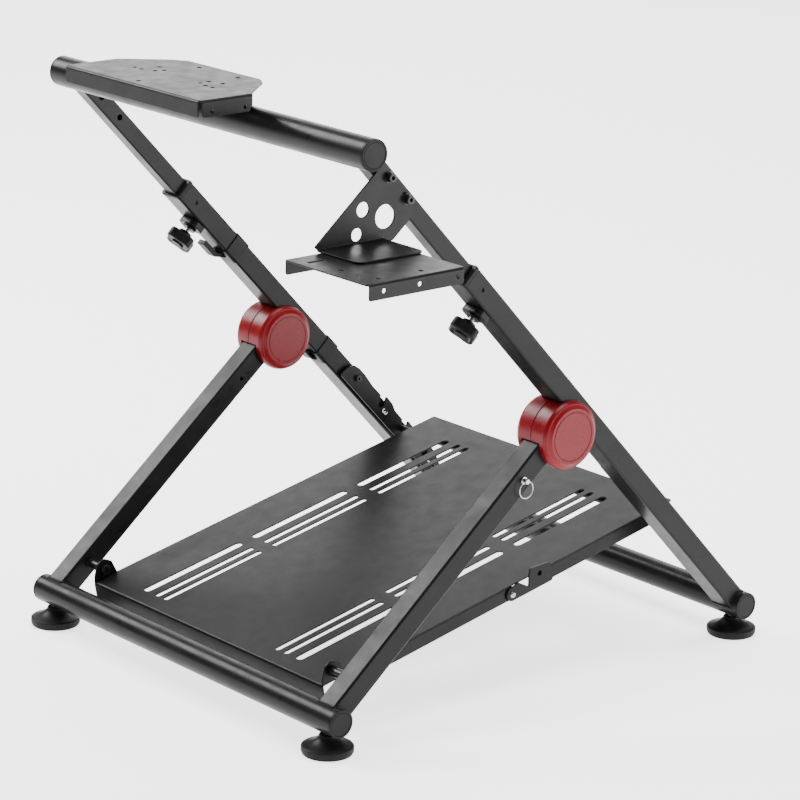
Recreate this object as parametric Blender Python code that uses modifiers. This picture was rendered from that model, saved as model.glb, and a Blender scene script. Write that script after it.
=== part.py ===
"""Folding floor stand for a racing wheel, a gear shifter and a set of pedals.

Metres, +Z up.  X runs across the stand (driver's right is +X), the driver sits on the -Y side.
Every coordinate below is in the design frame: X = 0 in the middle between the legs, Y = 0 on the
axis of the front cross tube, Z = 0 on the floor.  One root empty moves the whole stand so that the
origin is in the middle of its footprint.
"""
import math

import bmesh
import bpy
from mathutils import Matrix

# ---------------------------------------------------------------- driving dimensions
GAP = 0.0003                    # air between touching pieces
INSET = 0.0001                  # step that keeps the faces of joined shapes off one plane

BASE_TUBE_RADIUS = 0.01905      # 1 1/2 inch round tube
BASE_TUBE_LENGTH = 0.651        # with its end caps
BASE_TUBE_Z = 0.0459
REAR_TUBE_Y = 0.7258
TOP_TUBE_RADIUS = 0.0203
TOP_TUBE_LENGTH = 0.653
TUBE_WALL = 0.0015
CAP_FLANGE = 0.003
CAP_PLUG = 0.012

MAIN_LEG_X = 0.2971             # middle of each long leg
MAIN_LEG_ANGLE = 46.5           # degrees above the floor
MAIN_LEG_WIDTH = 0.0382
MAIN_LEG_DEPTH = 0.0303
MAIN_LEG_MOUTH = 0.7494         # from the rear tube's axis to the open upper end

SHORT_LEG_X = 0.2968
SHORT_LEG_ANGLE = 40.0
SHORT_LEG_WIDTH = 0.0324
SHORT_LEG_DEPTH = 0.0315
SHORT_LEG_PAST_HUB = 0.013

INNER_TUBE_SIDE = 0.0244
INNER_TUBE_START = 0.594        # lower end of the telescoping tube
TOP_TUBE_ALONG = 0.9994         # top cross tube's axis, along the long leg
TOP_TUBE_OFF = -0.0012

HUB_Y = 0.3801
HUB_Z = 0.3550
HUB_RADIUS = 0.046
HUB_INNER_X = 0.2652            # inner face of the red drum
HUB_OUTER_X = 0.3290            # outer face of the red drum
HUB_SHELL = 0.003
FOLD_SWEEP = 93.5               # degrees the short legs could swing inside the drum

PEDAL_HINGE_Y = 0.0475
PEDAL_HINGE_Z = 0.0835
PEDAL_FRONT_Y = 0.0303          # top of the plate's front edge
PEDAL_FRONT_Z = 0.0676
PEDAL_SLOPE = 11.87
PEDAL_WIDTH = 0.500
PEDAL_LENGTH = 0.6304
SHEET = 0.002                   # pedal, wheel and shifter sheet metal
RAIL_DEPTH = 0.018
RAIL_THICKNESS = 0.0025

HOOK_ROD_RADIUS = 0.005
HOOK_ROD_ALONG = 0.1799         # hook rod's place along the long leg
HOOK_ROD_OFF = 0.0049
NOTCH_PITCH = 0.062
BRACKET_X = 0.2725              # middle of the notch bracket's plate
BRACKET_THICKNESS = 0.003

WHEEL_PLATE_Z = 0.8202          # top face
SHELF_Z = 0.6580                # top face
SHELF_INNER_X = 0.3131
SHELF_OUTER_X = 0.4700
SHELF_FRONT_Y = -0.0910
SHELF_BACK_Y = 0.0600
GUSSET_X = 0.3113               # middle of the shifter gusset's plate
GUSSET_THICKNESS = 0.003

FOOT_X = 0.2986
FOOT_RADIUS = 0.034
FOOT_STUD_RADIUS = 0.005

BOLT_RADIUS = 0.004
PIN_ALONG = 0.404               # pull pin's place along the short leg
PIN_EYE = 0.0050                # from the leg's face to the eye in the pin's head
KNOB_ALONG = 0.695
SMALL_HOLE_RADIUS = 0.0028

ROUND_STEPS = 24
SMALL_STEPS = 12

# Turns that lay an outline or a turned profile the right way round, in degrees
LIE_FLAT = (0, 0, 0)            # outline in XY, thickness along Z
STAND_SIDEWAYS = (90, 0, 90)    # outline in YZ, thickness along X
STAND_FACING = (90, 0, 0)       # outline in XZ, thickness along Y
TURNED_ALONG_X = (0, 90, 0)     # turned piece whose top points to +X
TURNED_ALONG_MINUS_X = (0, -90, 0)
TURNED_ALONG_MINUS_Y = (90, 0, 0)

SIDES = (("left", -1), ("right", 1))


# ---------------------------------------------------------------- scene helpers
def clear_scene():
    """Remove every object that the file opened with."""
    for obj in list(bpy.data.objects):
        bpy.data.objects.remove(obj, do_unlink=True)


def new_collection(name):
    """Make a collection under the scene's own."""
    collection = bpy.data.collections.new(name)
    bpy.context.scene.collection.children.link(collection)
    return collection


def new_material(name, colour, roughness, metallic):
    """Make a Principled material."""
    material = bpy.data.materials.new(name)
    material.use_nodes = True
    shader = material.node_tree.nodes["Principled BSDF"]
    shader.inputs["Base Color"].default_value = (*colour, 1)
    shader.inputs["Roughness"].default_value = roughness
    shader.inputs["Metallic"].default_value = metallic
    return material


def new_frame(name, parent, location, tilt=0.0):
    """Make an empty that carries pieces: its axis may be tilted about X, in degrees."""
    empty = bpy.data.objects.new(name, None)
    bpy.context.scene.collection.objects.link(empty)
    empty.empty_display_size = 0.05
    empty.parent = parent
    empty.location = location
    empty.rotation_euler = (math.radians(tilt), 0, 0)
    return empty


def place(obj, frame, location, turn):
    """Put an object in a carrying frame."""
    obj.parent = frame
    obj.location = location
    obj.rotation_euler = [math.radians(angle) for angle in turn]
    return obj


def piece(name, mesh, material, frame, location=(0, 0, 0), turn=LIE_FLAT):
    """Add one named piece of the stand."""
    mesh.materials.append(material)
    obj = bpy.data.objects.new(name, mesh)
    PARTS.objects.link(obj)
    return place(obj, frame, location, turn)


def cutter(name, mesh, frame, location=(0, 0, 0), turn=LIE_FLAT):
    """Add a wire-frame helper that cuts a piece or is joined to one."""
    obj = bpy.data.objects.new(name, mesh)
    CUTTERS.objects.link(obj)
    obj.hide_render = True
    obj.display_type = "WIRE"
    return place(obj, frame, location, turn)


def combine(obj, operation, other):
    """Cut another object out of a piece, or join it to the piece."""
    modifier = obj.modifiers.new(operation.title(), "BOOLEAN")
    modifier.operation = operation
    modifier.solver = "EXACT"
    modifier.object = other


# ---------------------------------------------------------------- outlines
def circle(x, y, radius, steps=12):
    """Points of a circle."""
    turns = [2 * math.pi * step / steps for step in range(steps)]
    return [(x + radius * math.cos(turn), y + radius * math.sin(turn)) for turn in turns]


def arc(x, y, radius, start, end, steps):
    """Points of an arc, angles in degrees."""
    points = []
    for step in range(steps + 1):
        turn = math.radians(start + (end - start) * step / steps)
        points.append((x + radius * math.cos(turn), y + radius * math.sin(turn)))
    return points


def rounded_box(width, height, radius, x=0.0, y=0.0, steps=3):
    """Points of a rectangle with round corners, centred on x, y."""
    points = []
    corners = ((1, 1, 0), (-1, 1, 90), (-1, -1, 180), (1, -1, 270))
    for side, level, start in corners:
        middle_x = x + side * (width / 2 - radius)
        middle_y = y + level * (height / 2 - radius)
        points += arc(middle_x, middle_y, radius, start, start + 90, steps)
    return points


def slot_outline(x, start, end, width, steps=3):
    """Points of a slot along Y with round ends."""
    radius = width / 2
    return arc(x, end - radius, radius, 0, 180, steps) + arc(x, start + radius, radius, 180, 360, steps)


# ---------------------------------------------------------------- solids
def weld(mesh):
    """Close the seams of a mesh and turn its faces outwards."""
    work = bmesh.new()
    work.from_mesh(mesh)
    bmesh.ops.remove_doubles(work, verts=work.verts, dist=1e-6)
    bmesh.ops.recalc_face_normals(work, faces=work.faces)
    if work.calc_volume(signed=True) < 0:
        bmesh.ops.reverse_faces(work, faces=work.faces)
    work.to_mesh(mesh)
    work.free()


def flat_solid(name, outline, thickness, holes=()):
    """Extrude a flat outline with holes; the thickness is centred on Z = 0."""
    curve = bpy.data.curves.new(name, "CURVE")
    curve.dimensions = "2D"
    curve.fill_mode = "BOTH"
    curve.extrude = thickness / 2
    for loop in (outline, *holes):
        spline = curve.splines.new("POLY")
        spline.points.add(len(loop) - 1)
        for point, (u, v) in zip(spline.points, loop):
            point.co = (u, v, 0, 1)
        spline.use_cyclic_u = True
    shape = bpy.data.objects.new(name + "_outline", curve)
    bpy.context.scene.collection.objects.link(shape)
    graph = bpy.context.evaluated_depsgraph_get()
    mesh = bpy.data.meshes.new_from_object(shape.evaluated_get(graph))
    mesh.name = name
    bpy.data.objects.remove(shape)
    bpy.data.curves.remove(curve)
    weld(mesh)
    return mesh


def box_solid(name, size):
    """A box centred on the origin."""
    mesh = bpy.data.meshes.new(name)
    work = bmesh.new()
    bmesh.ops.create_cube(work, size=1.0, matrix=Matrix.Diagonal((*size, 1)))
    work.to_mesh(mesh)
    work.free()
    return mesh


def rod_solid(name, radius, length, steps=SMALL_STEPS):
    """A cylinder along Z, centred on the origin."""
    mesh = bpy.data.meshes.new(name)
    work = bmesh.new()
    bmesh.ops.create_cone(work, cap_ends=True, segments=steps, radius1=radius, radius2=radius, depth=length)
    work.to_mesh(mesh)
    work.free()
    return mesh


def profile_mesh(name, points, closed):
    """A profile of edges at +X: each point is (radius, height), top to bottom on the outer side."""
    mesh = bpy.data.meshes.new(name)
    edges = [(index, index + 1) for index in range(len(points) - 1)]
    if closed:
        edges.append((len(points) - 1, 0))
    mesh.from_pydata([(radius, 0, height) for radius, height in points], edges, [])
    return mesh


def turn_profile(obj, steps):
    """Turn an object's profile once round its Z axis."""
    screw = obj.modifiers.new("Turned", "SCREW")
    screw.axis = "Z"
    screw.angle = 2 * math.pi
    screw.steps = steps
    screw.render_steps = steps
    screw.use_merge_vertices = True
    screw.merge_threshold = 1e-6
    screw.use_smooth_shade = True
    return obj


def turned_piece(name, points, material, frame, location, turn, steps=SMALL_STEPS, closed=False):
    """Add a piece made by turning a profile."""
    obj = piece(name, profile_mesh(name, points, closed), material, frame, location, turn)
    return turn_profile(obj, steps)


def drill(obj, frame, location, turn, radius, length, steps=SMALL_STEPS):
    """Cut a round hole whose axis is the turned Z axis."""
    tool = cutter(obj.name + "_drill", rod_solid("drill", radius, length, steps), frame, location, turn)
    combine(obj, "DIFFERENCE", tool)


def cut_box(obj, frame, location, size):
    """Cut a box out of a piece."""
    tool = cutter(obj.name + "_box", box_solid("box_cut", size), frame, location)
    combine(obj, "DIFFERENCE", tool)


def smooth(obj, sharp_angle=35):
    """Shade a piece smooth except along its sharp edges."""
    obj.data.shade_smooth()
    obj.data.set_sharp_from_angle(angle=math.radians(sharp_angle))
    return obj


# ---------------------------------------------------------------- places along the long leg
def main_leg_place(along, off):
    """Design-frame Y and Z of a point given along the long leg and off its centreline."""
    angle = math.radians(MAIN_LEG_ANGLE)
    y = REAR_TUBE_Y - along * math.cos(angle) + off * math.sin(angle)
    z = BASE_TUBE_Z + along * math.sin(angle) + off * math.cos(angle)
    return y, z


def main_leg_coordinates(y, z):
    """Distance along the long leg, and off its centreline, of a design-frame point."""
    angle = math.radians(MAIN_LEG_ANGLE)
    back = y - REAR_TUBE_Y
    up = z - BASE_TUBE_Z
    along = -back * math.cos(angle) + up * math.sin(angle)
    off = back * math.sin(angle) + up * math.cos(angle)
    return along, off


def short_leg_coordinates(y, z):
    """Distance along the short leg, and off its centreline (upwards), of a design-frame point."""
    angle = math.radians(SHORT_LEG_ANGLE)
    up = z - BASE_TUBE_Z
    along = y * math.cos(angle) + up * math.sin(angle)
    off = -y * math.sin(angle) + up * math.cos(angle)
    return along, off


def pedal_coordinates(y, z):
    """Distance along the pedal plate, and above its top face, of a design-frame point."""
    angle = math.radians(PEDAL_SLOPE)
    back = y - PEDAL_FRONT_Y
    up = z - PEDAL_FRONT_Z
    return back * math.cos(angle) + up * math.sin(angle), -back * math.sin(angle) + up * math.cos(angle)


# ---------------------------------------------------------------- tubes, caps and feet
def cross_tube(name, frame, location, radius, length):
    """Round tube along X, open at both ends under its caps."""
    half = length / 2 - CAP_FLANGE - GAP
    inner = radius - TUBE_WALL
    wall = [(radius, half), (radius, -half), (inner, -half), (inner, half)]
    return turned_piece(name, wall, STEEL, frame, location, TURNED_ALONG_X, ROUND_STEPS, closed=True)


def end_caps(prefix, frame, y, z, radius, length):
    """A flat plastic cap in each end of a cross tube."""
    edge = 0.001
    plug = radius - TUBE_WALL - GAP
    profile = [(0, CAP_FLANGE), (radius - edge, CAP_FLANGE), (radius, CAP_FLANGE - edge), (radius, 0),
               (plug, 0), (plug, -CAP_PLUG), (0, -CAP_PLUG)]
    for side_name, side in SIDES:
        turn = TURNED_ALONG_X if side > 0 else TURNED_ALONG_MINUS_X
        location = (side * (length / 2 - CAP_FLANGE), y, z)
        turned_piece(f"{prefix}_cap_{side_name}", profile, PLASTIC, frame, location, turn, ROUND_STEPS)


def foot_holes(tube, frame, y, z):
    """Holes for the feet's studs in the lower wall of a base tube."""
    for _, side in SIDES:
        location = (side * FOOT_X, y, z - BASE_TUBE_RADIUS)
        drill(tube, frame, location, LIE_FLAT, FOOT_STUD_RADIUS + GAP, 0.012, 12)


def levelling_foot(name, frame, location):
    """Screw-in foot: wide rim, coned top, neck and stud; its frame's Z = 0 is the floor."""
    stud_top = BASE_TUBE_Z - 0.004
    neck_top = BASE_TUBE_Z - BASE_TUBE_RADIUS - 0.0012
    profile = [(0, stud_top), (FOOT_STUD_RADIUS, stud_top), (FOOT_STUD_RADIUS, neck_top),
               (0.0095, neck_top), (0.0125, 0.0215), (0.0225, 0.0165), (0.0315, 0.0125),
               (FOOT_RADIUS, 0.0095), (FOOT_RADIUS, 0.002), (FOOT_RADIUS - 0.002, 0), (0, 0)]
    turned_piece(name, profile, PLASTIC, frame, location, LIE_FLAT, ROUND_STEPS)


# ---------------------------------------------------------------- main frame
def main_leg(name, side):
    """Rectangular tube from the rear cross tube to its open mouth."""
    outer = rounded_box(MAIN_LEG_WIDTH, MAIN_LEG_DEPTH, 0.0032)
    bore = rounded_box(MAIN_LEG_WIDTH - 2 * TUBE_WALL, MAIN_LEG_DEPTH - 2 * TUBE_WALL, 0.0015)
    x = side * MAIN_LEG_X
    leg = piece(name, flat_solid(name, outer, MAIN_LEG_MOUTH, [bore]), STEEL, MAIN_LEG_FRAME,
                (x, 0, MAIN_LEG_MOUTH / 2))
    drill(leg, MAIN_LEG_FRAME, (x, 0, 0), TURNED_ALONG_X, BASE_TUBE_RADIUS + GAP, 0.06, ROUND_STEPS)
    front_wall = -MAIN_LEG_DEPTH / 2
    drill(leg, MAIN_LEG_FRAME, (x, front_wall, KNOB_ALONG), TURNED_ALONG_MINUS_Y, BOLT_RADIUS + GAP, 0.006, 12)
    drill(leg, MAIN_LEG_FRAME, (x, 0, 0.725), TURNED_ALONG_X, SMALL_HOLE_RADIUS, 0.06, 12)
    return leg


def leg_collar(name, side):
    """Plastic collar: a lip over the leg's mouth and a sleeve round the inner tube."""
    lip = 0.006
    sleeve = 0.040
    x = side * MAIN_LEG_X
    width = MAIN_LEG_WIDTH - 2 * TUBE_WALL - 2 * GAP
    depth = MAIN_LEG_DEPTH - 2 * TUBE_WALL - 2 * GAP
    lip_outline = rounded_box(MAIN_LEG_WIDTH + 0.0016, MAIN_LEG_DEPTH + 0.0016, 0.0035)
    lip_bottom = MAIN_LEG_MOUTH + GAP
    collar = piece(name, flat_solid(name, lip_outline, lip), PLASTIC, MAIN_LEG_FRAME,
                   (x, 0, lip_bottom + lip / 2))
    sleeve_solid = flat_solid(name + "_sleeve", rounded_box(width, depth, 0.0012), sleeve)
    sleeve_z = lip_bottom + lip / 2 - sleeve / 2
    combine(collar, "UNION", cutter(name + "_sleeve", sleeve_solid, MAIN_LEG_FRAME, (x, 0, sleeve_z)))
    bore = INNER_TUBE_SIDE + 2 * GAP
    cut_box(collar, MAIN_LEG_FRAME, (x, 0, lip_bottom), (bore, bore, 0.1))


def clamp_block(name, side):
    """Threaded block on the front of the long leg for the star knob's stud."""
    thickness = 0.012
    x = side * MAIN_LEG_X
    outline = rounded_box(0.036, 0.026, 0.009, steps=4)
    solid = flat_solid(name, outline, thickness, [circle(0, 0, BOLT_RADIUS + GAP)])
    y = -MAIN_LEG_DEPTH / 2 - GAP - thickness / 2
    piece(name, solid, STEEL, MAIN_LEG_FRAME, (x, y, KNOB_ALONG), STAND_FACING)


def hub_fork(name, side):
    """Channel on the front of the long leg whose two cheeks hold the short leg's pivot bolt."""
    cheek = 0.003
    web = 0.003
    along, off = main_leg_coordinates(HUB_Y, HUB_Z)
    inner_width = SHORT_LEG_WIDTH + 4 * GAP
    x = side * SHORT_LEG_X
    back = -MAIN_LEG_DEPTH / 2 - GAP
    half_web = 0.024
    outline = [(back, along - half_web), (back, along + half_web), (back - web, along + half_web)]
    outline += arc(off, along, 0.013, 60, 300, 10)
    outline += [(back - web, along - half_web)]
    bolt_hole = circle(off, along, 0.005 + GAP)
    fork = piece(name, flat_solid(name, outline, inner_width + 2 * cheek, [bolt_hole]), STEEL,
                 MAIN_LEG_FRAME, (x, 0, 0), STAND_SIDEWAYS)
    channel_depth = 0.05
    channel_y = back - web - channel_depth / 2
    cut_box(fork, MAIN_LEG_FRAME, (x, channel_y, along), (inner_width, channel_depth, 0.1))


def pivot_bolt(name, side):
    """Hub bolt with its head and nut, inside the red drum."""
    half = SHORT_LEG_WIDTH / 2 + 0.004
    head = 0.005
    shank = 0.005
    profile = [(0, half + head), (0.0085, half + head), (0.0085, half), (shank, half),
               (shank, -half), (0.0085, -half), (0.0085, -half - head), (0, -half - head)]
    turned_piece(name, profile, ZINC, ROOT, (side * SHORT_LEG_X, HUB_Y, HUB_Z), TURNED_ALONG_X)


def hub_cover(name, side, outward):
    """Half of the red drum: a cup, notched for both legs."""
    seam = (HUB_INNER_X + HUB_OUTER_X) / 2
    depth = (HUB_OUTER_X - HUB_INNER_X) / 2 - GAP / 2
    floor = depth - HUB_SHELL
    chamfer = 0.0025
    profile = [(0, depth), (HUB_RADIUS - chamfer, depth), (HUB_RADIUS, depth - chamfer),
               (HUB_RADIUS, 0), (HUB_RADIUS - HUB_SHELL, 0), (HUB_RADIUS - HUB_SHELL, floor), (0, floor)]
    turn = TURNED_ALONG_X if outward * side > 0 else TURNED_ALONG_MINUS_X
    location = (side * (seam + outward * GAP / 2), HUB_Y, HUB_Z)
    cover = turned_piece(name, profile, RED, ROOT, location, turn, ROUND_STEPS)
    along, _ = main_leg_coordinates(HUB_Y, HUB_Z)
    deep = 0.1
    leg_front = -MAIN_LEG_DEPTH / 2 - GAP
    cut_box(cover, MAIN_LEG_FRAME, (side * MAIN_LEG_X, leg_front + deep / 2, along),
            (MAIN_LEG_WIDTH + 2 * GAP, deep, 0.2))
    sweep = cutter(name + "_sweep", short_leg_sweep(), ROOT, (side * SHORT_LEG_X, HUB_Y, HUB_Z), STAND_SIDEWAYS)
    combine(cover, "DIFFERENCE", sweep)


def short_leg_sweep():
    """Fan-shaped solid that the short leg passes through at the drum's rim."""
    inside = 0.038
    outside = 0.070
    _, leg_off = short_leg_coordinates(HUB_Y, HUB_Z)
    upper = SHORT_LEG_DEPTH / 2 - leg_off
    lower = SHORT_LEG_DEPTH / 2 + leg_off
    rest = 180 + SHORT_LEG_ANGLE
    rim = HUB_RADIUS - HUB_SHELL
    start = rest - math.degrees(math.asin(upper / rim)) - 2
    end = rest + math.degrees(math.asin(lower / rim)) + FOLD_SWEEP + 2
    outline = arc(0, 0, outside, start, end, 12) + arc(0, 0, inside, end, start, 12)
    return flat_solid("sweep", outline, SHORT_LEG_WIDTH + 0.002)


def notch_outline():
    """Outline of the notch bracket as (off, along): a plate with three slanted hooks."""
    slant_along = 0.468
    slant_off = 0.884
    half_slot = HOOK_ROD_RADIUS + GAP
    half_mouth = half_slot + 0.0007
    short_side = 0.0122
    long_side = 0.0137
    points = [(-0.012, 0.334), (-0.008, 0.338), (0.006, 0.334), (0.014, 0.327), (0.0165, 0.316),
              (0.0166, 0.300), (0.014, 0.278)]
    slant_turn = math.degrees(math.atan2(slant_along, slant_off))
    for step in (1, 0, -1):
        along = HOOK_ROD_ALONG + step * NOTCH_PITCH
        far = (HOOK_ROD_OFF - slant_along * half_mouth, along + slant_off * half_mouth)
        near = (HOOK_ROD_OFF + slant_along * half_mouth, along - slant_off * half_mouth)
        points.append((far[0] + slant_off * long_side, far[1] + slant_along * long_side))
        points += arc(HOOK_ROD_OFF, along, half_slot, slant_turn + 90, slant_turn + 270, 8)
        points.append((near[0] + slant_off * short_side, near[1] + slant_along * short_side))
        points.append((0.0192, along - 0.0015))
        points.append((0.0188, along - 0.016))
        points.append((0.0145, along - 0.029))
    points += [(0.0115, 0.080), (0.004, 0.072), (-0.006, 0.072), (-0.012, 0.078)]
    return points


def notch_bracket(name, side):
    """Numbered hook plate that stands off the inner face of the long leg on two bosses."""
    bracket = piece(name, flat_solid(name, notch_outline(), BRACKET_THICKNESS), STEEL, MAIN_LEG_FRAME,
                    (side * BRACKET_X, 0, 0), STAND_SIDEWAYS)
    plate_face = BRACKET_X + BRACKET_THICKNESS / 2
    leg_face = MAIN_LEG_X - MAIN_LEG_WIDTH / 2 - GAP
    length = leg_face - plate_face + BRACKET_THICKNESS / 2
    x = side * (leg_face - length / 2)
    for number, (along, off) in enumerate(((0.309, 0.004), (0.092, 0.0))):
        boss = cutter(f"{name}_boss_{number}", rod_solid("boss", 0.006, length, 12), MAIN_LEG_FRAME,
                      (x, off, along), TURNED_ALONG_X)
        combine(bracket, "UNION", boss)


def cable_clip(name, bottom, top, hook_bottom, hook_top, reach):
    """Band round three faces of the left long leg with a cable hook on its front."""
    height = top - bottom
    wall = 0.0016
    half_width = MAIN_LEG_WIDTH / 2 + GAP
    half_depth = MAIN_LEG_DEPTH / 2 + GAP
    open_side = -half_width + 0.010
    corner = 0.001
    outer_x = half_width + wall - corner
    outer_y = half_depth + wall - corner
    outline = [(open_side, half_depth), (half_width, half_depth), (half_width, -half_depth),
               (open_side, -half_depth), (open_side, -half_depth - wall)]
    outline += arc(outer_x, -outer_y, corner, 270, 360, 2)
    outline += arc(outer_x, outer_y, corner, 0, 90, 2)
    outline += [(open_side, half_depth + wall)]
    clip = piece(name, flat_solid(name, outline, height), PLASTIC, MAIN_LEG_FRAME,
                 (-MAIN_LEG_X, 0, (top + bottom) / 2))
    face = -half_depth - wall
    inside = face + wall / 3
    cable_gap = 0.4 * reach
    root_top = hook_bottom + 0.4 * (hook_top - hook_bottom)
    hook = [(inside, hook_bottom), (inside, root_top - cable_gap), (face - cable_gap, root_top),
            (face - cable_gap, hook_top), (face - reach, hook_top), (face - reach, root_top)]
    hook_solid = flat_solid(name + "_hook", hook, 0.016)
    combine(clip, "UNION", cutter(name + "_hook", hook_solid, MAIN_LEG_FRAME, (-MAIN_LEG_X, 0, 0),
                                  STAND_SIDEWAYS))


def build_main_frame():
    """Everything that stays with the long legs."""
    rear = cross_tube("rear_cross_tube", ROOT, (0, REAR_TUBE_Y, BASE_TUBE_Z), BASE_TUBE_RADIUS, BASE_TUBE_LENGTH)
    foot_holes(rear, ROOT, REAR_TUBE_Y, BASE_TUBE_Z)
    end_caps("rear_tube", ROOT, REAR_TUBE_Y, BASE_TUBE_Z, BASE_TUBE_RADIUS, BASE_TUBE_LENGTH)
    for side_name, side in SIDES:
        main_leg(f"main_leg_{side_name}", side)
        leg_collar(f"leg_collar_{side_name}", side)
        clamp_block(f"clamp_block_{side_name}", side)
        hub_fork(f"hub_fork_{side_name}", side)
        pivot_bolt(f"hub_pivot_bolt_{side_name}", side)
        hub_cover(f"hub_cover_inner_{side_name}", side, -1)
        hub_cover(f"hub_cover_outer_{side_name}", side, 1)
        notch_bracket(f"notch_bracket_{side_name}", side)
    cable_clip("cable_clip_upper", 0.608, 0.635, 0.617, 0.663, 0.012)
    cable_clip("cable_clip_lower", 0.369, 0.394, 0.374, 0.402, 0.006)


# ---------------------------------------------------------------- front frame
def short_leg(name, side):
    """Square tube from the front cross tube to the hub."""
    outer = rounded_box(SHORT_LEG_WIDTH, SHORT_LEG_DEPTH, 0.0032)
    bore = rounded_box(SHORT_LEG_WIDTH - 2 * TUBE_WALL, SHORT_LEG_DEPTH - 2 * TUBE_WALL, 0.0015)
    hub_along, hub_off = short_leg_coordinates(HUB_Y, HUB_Z)
    length = hub_along + SHORT_LEG_PAST_HUB
    x = side * SHORT_LEG_X
    leg = piece(name, flat_solid(name, outer, length, [bore]), STEEL, SHORT_LEG_FRAME, (x, 0, length / 2))
    drill(leg, SHORT_LEG_FRAME, (x, 0, 0), TURNED_ALONG_X, BASE_TUBE_RADIUS + GAP, 0.06, ROUND_STEPS)
    drill(leg, SHORT_LEG_FRAME, (x, -hub_off, hub_along), TURNED_ALONG_X, 0.005 + GAP, 0.06, 12)
    drill(leg, SHORT_LEG_FRAME, (x, 0.001, PIN_ALONG), TURNED_ALONG_X, SMALL_HOLE_RADIUS + GAP, 0.06, 12)
    bolt_along, bolt_off = short_leg_coordinates(PEDAL_HINGE_Y, PEDAL_HINGE_Z)
    inner_wall = side * (SHORT_LEG_X - SHORT_LEG_WIDTH / 2)
    drill(leg, SHORT_LEG_FRAME, (inner_wall, -bolt_off, bolt_along), TURNED_ALONG_X, BOLT_RADIUS + GAP,
          0.008, 12)


def pedal_pivot_bolt(name, side):
    """Bolt through the pedal plate's ear into the short leg, with the washer between them."""
    ear_face = PEDAL_WIDTH / 2 - GAP
    head_top = ear_face - SHEET - 2 * GAP
    leg_face = SHORT_LEG_X - SHORT_LEG_WIDTH / 2
    washer = 0.0075
    outer_end = leg_face + 0.008
    profile = [(0, outer_end), (BOLT_RADIUS, outer_end), (BOLT_RADIUS, leg_face - GAP),
               (washer, leg_face - GAP), (washer, ear_face + 3 * GAP), (BOLT_RADIUS, ear_face + 3 * GAP),
               (BOLT_RADIUS, head_top), (0.007, head_top), (0.007, head_top - 0.004), (0, head_top - 0.004)]
    turn = TURNED_ALONG_X if side > 0 else TURNED_ALONG_MINUS_X
    turned_piece(name, profile, ZINC, FRONT_BODY, (0, PEDAL_HINGE_Y - HUB_Y, PEDAL_HINGE_Z - HUB_Z), turn)


def pull_pin(name, side, frame):
    """Spring pin that sits in the short leg; its head has an eye for the wire ring."""
    outer_face = SHORT_LEG_WIDTH / 2 + GAP
    head = 0.008
    pin = SMALL_HOLE_RADIUS
    profile = [(0, outer_face + head), (0.0028, outer_face + head), (0.0036, outer_face + head - 0.0008),
               (0.0036, outer_face), (pin, outer_face), (pin, -outer_face + 0.002), (pin - 0.001, -outer_face),
               (0, -outer_face)]
    turn = TURNED_ALONG_X if side > 0 else TURNED_ALONG_MINUS_X
    obj = turned_piece(name, profile, ZINC, frame, (0, 0, 0), turn, 10)
    drill(obj, frame, (side * (outer_face + PIN_EYE), 0, 0), STAND_FACING, 0.0018, 0.02, 8)


def pull_ring(name, side, frame):
    """Wire ring that hangs from the pin's eye."""
    wire = 0.0009
    radius = 0.0115
    curve = bpy.data.curves.new(name, "CURVE")
    curve.dimensions = "3D"
    curve.bevel_depth = wire
    curve.bevel_resolution = 1
    spline = curve.splines.new("POLY")
    turns = circle(0, 0.0002 - radius, radius, 20)
    spline.points.add(len(turns) - 1)
    for point, (u, v) in zip(spline.points, turns):
        point.co = (0, u, v, 1)
    spline.use_cyclic_u = True
    shape = bpy.data.objects.new(name + "_wire", curve)
    bpy.context.scene.collection.objects.link(shape)
    graph = bpy.context.evaluated_depsgraph_get()
    mesh = bpy.data.meshes.new_from_object(shape.evaluated_get(graph))
    mesh.name = name
    bpy.data.objects.remove(shape)
    bpy.data.curves.remove(curve)
    weld(mesh)
    smooth(piece(name, mesh, ZINC, frame, (0, 0, 0), (0, 0, 0)))


def build_front_frame():
    """Front cross tube, short legs and what is fixed to them."""
    y = -HUB_Y
    z = BASE_TUBE_Z - HUB_Z
    front = cross_tube("front_cross_tube", FRONT_BODY, (0, y, z), BASE_TUBE_RADIUS, BASE_TUBE_LENGTH)
    foot_holes(front, FRONT_BODY, y, z)
    end_caps("front_tube", FRONT_BODY, y, z, BASE_TUBE_RADIUS, BASE_TUBE_LENGTH)
    for side_name, side in SIDES:
        short_leg(f"short_leg_{side_name}", side)
        pedal_pivot_bolt(f"pedal_pivot_bolt_{side_name}", side)
        pin_body = new_frame(f"pin_slide_{side_name}", SHORT_LEG_FRAME, (side * SHORT_LEG_X, 0.001, PIN_ALONG),
                             90 - SHORT_LEG_ANGLE)
        pull_pin(f"pull_pin_{side_name}", side, pin_body)
        eye = side * (SHORT_LEG_WIDTH / 2 + GAP + PIN_EYE)
        ring_body = new_frame(f"ring_hinge_{side_name}", pin_body, (eye, 0, 0))
        pull_ring(f"pull_ring_{side_name}", side, ring_body)


# ---------------------------------------------------------------- pedal frame
def pedal_slots():
    """Three groups of three long slots on each side of the pedal plate."""
    columns = ((0.166, 0.012), (0.140, 0.008), (0.122, 0.008))
    groups = ((0.027, 0.196), (0.218, 0.388), (0.412, 0.584))
    slots = []
    for _, side in SIDES:
        for x, width in columns:
            slots += [slot_outline(side * x, start, end, width) for start, end in groups]
    return slots


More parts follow.
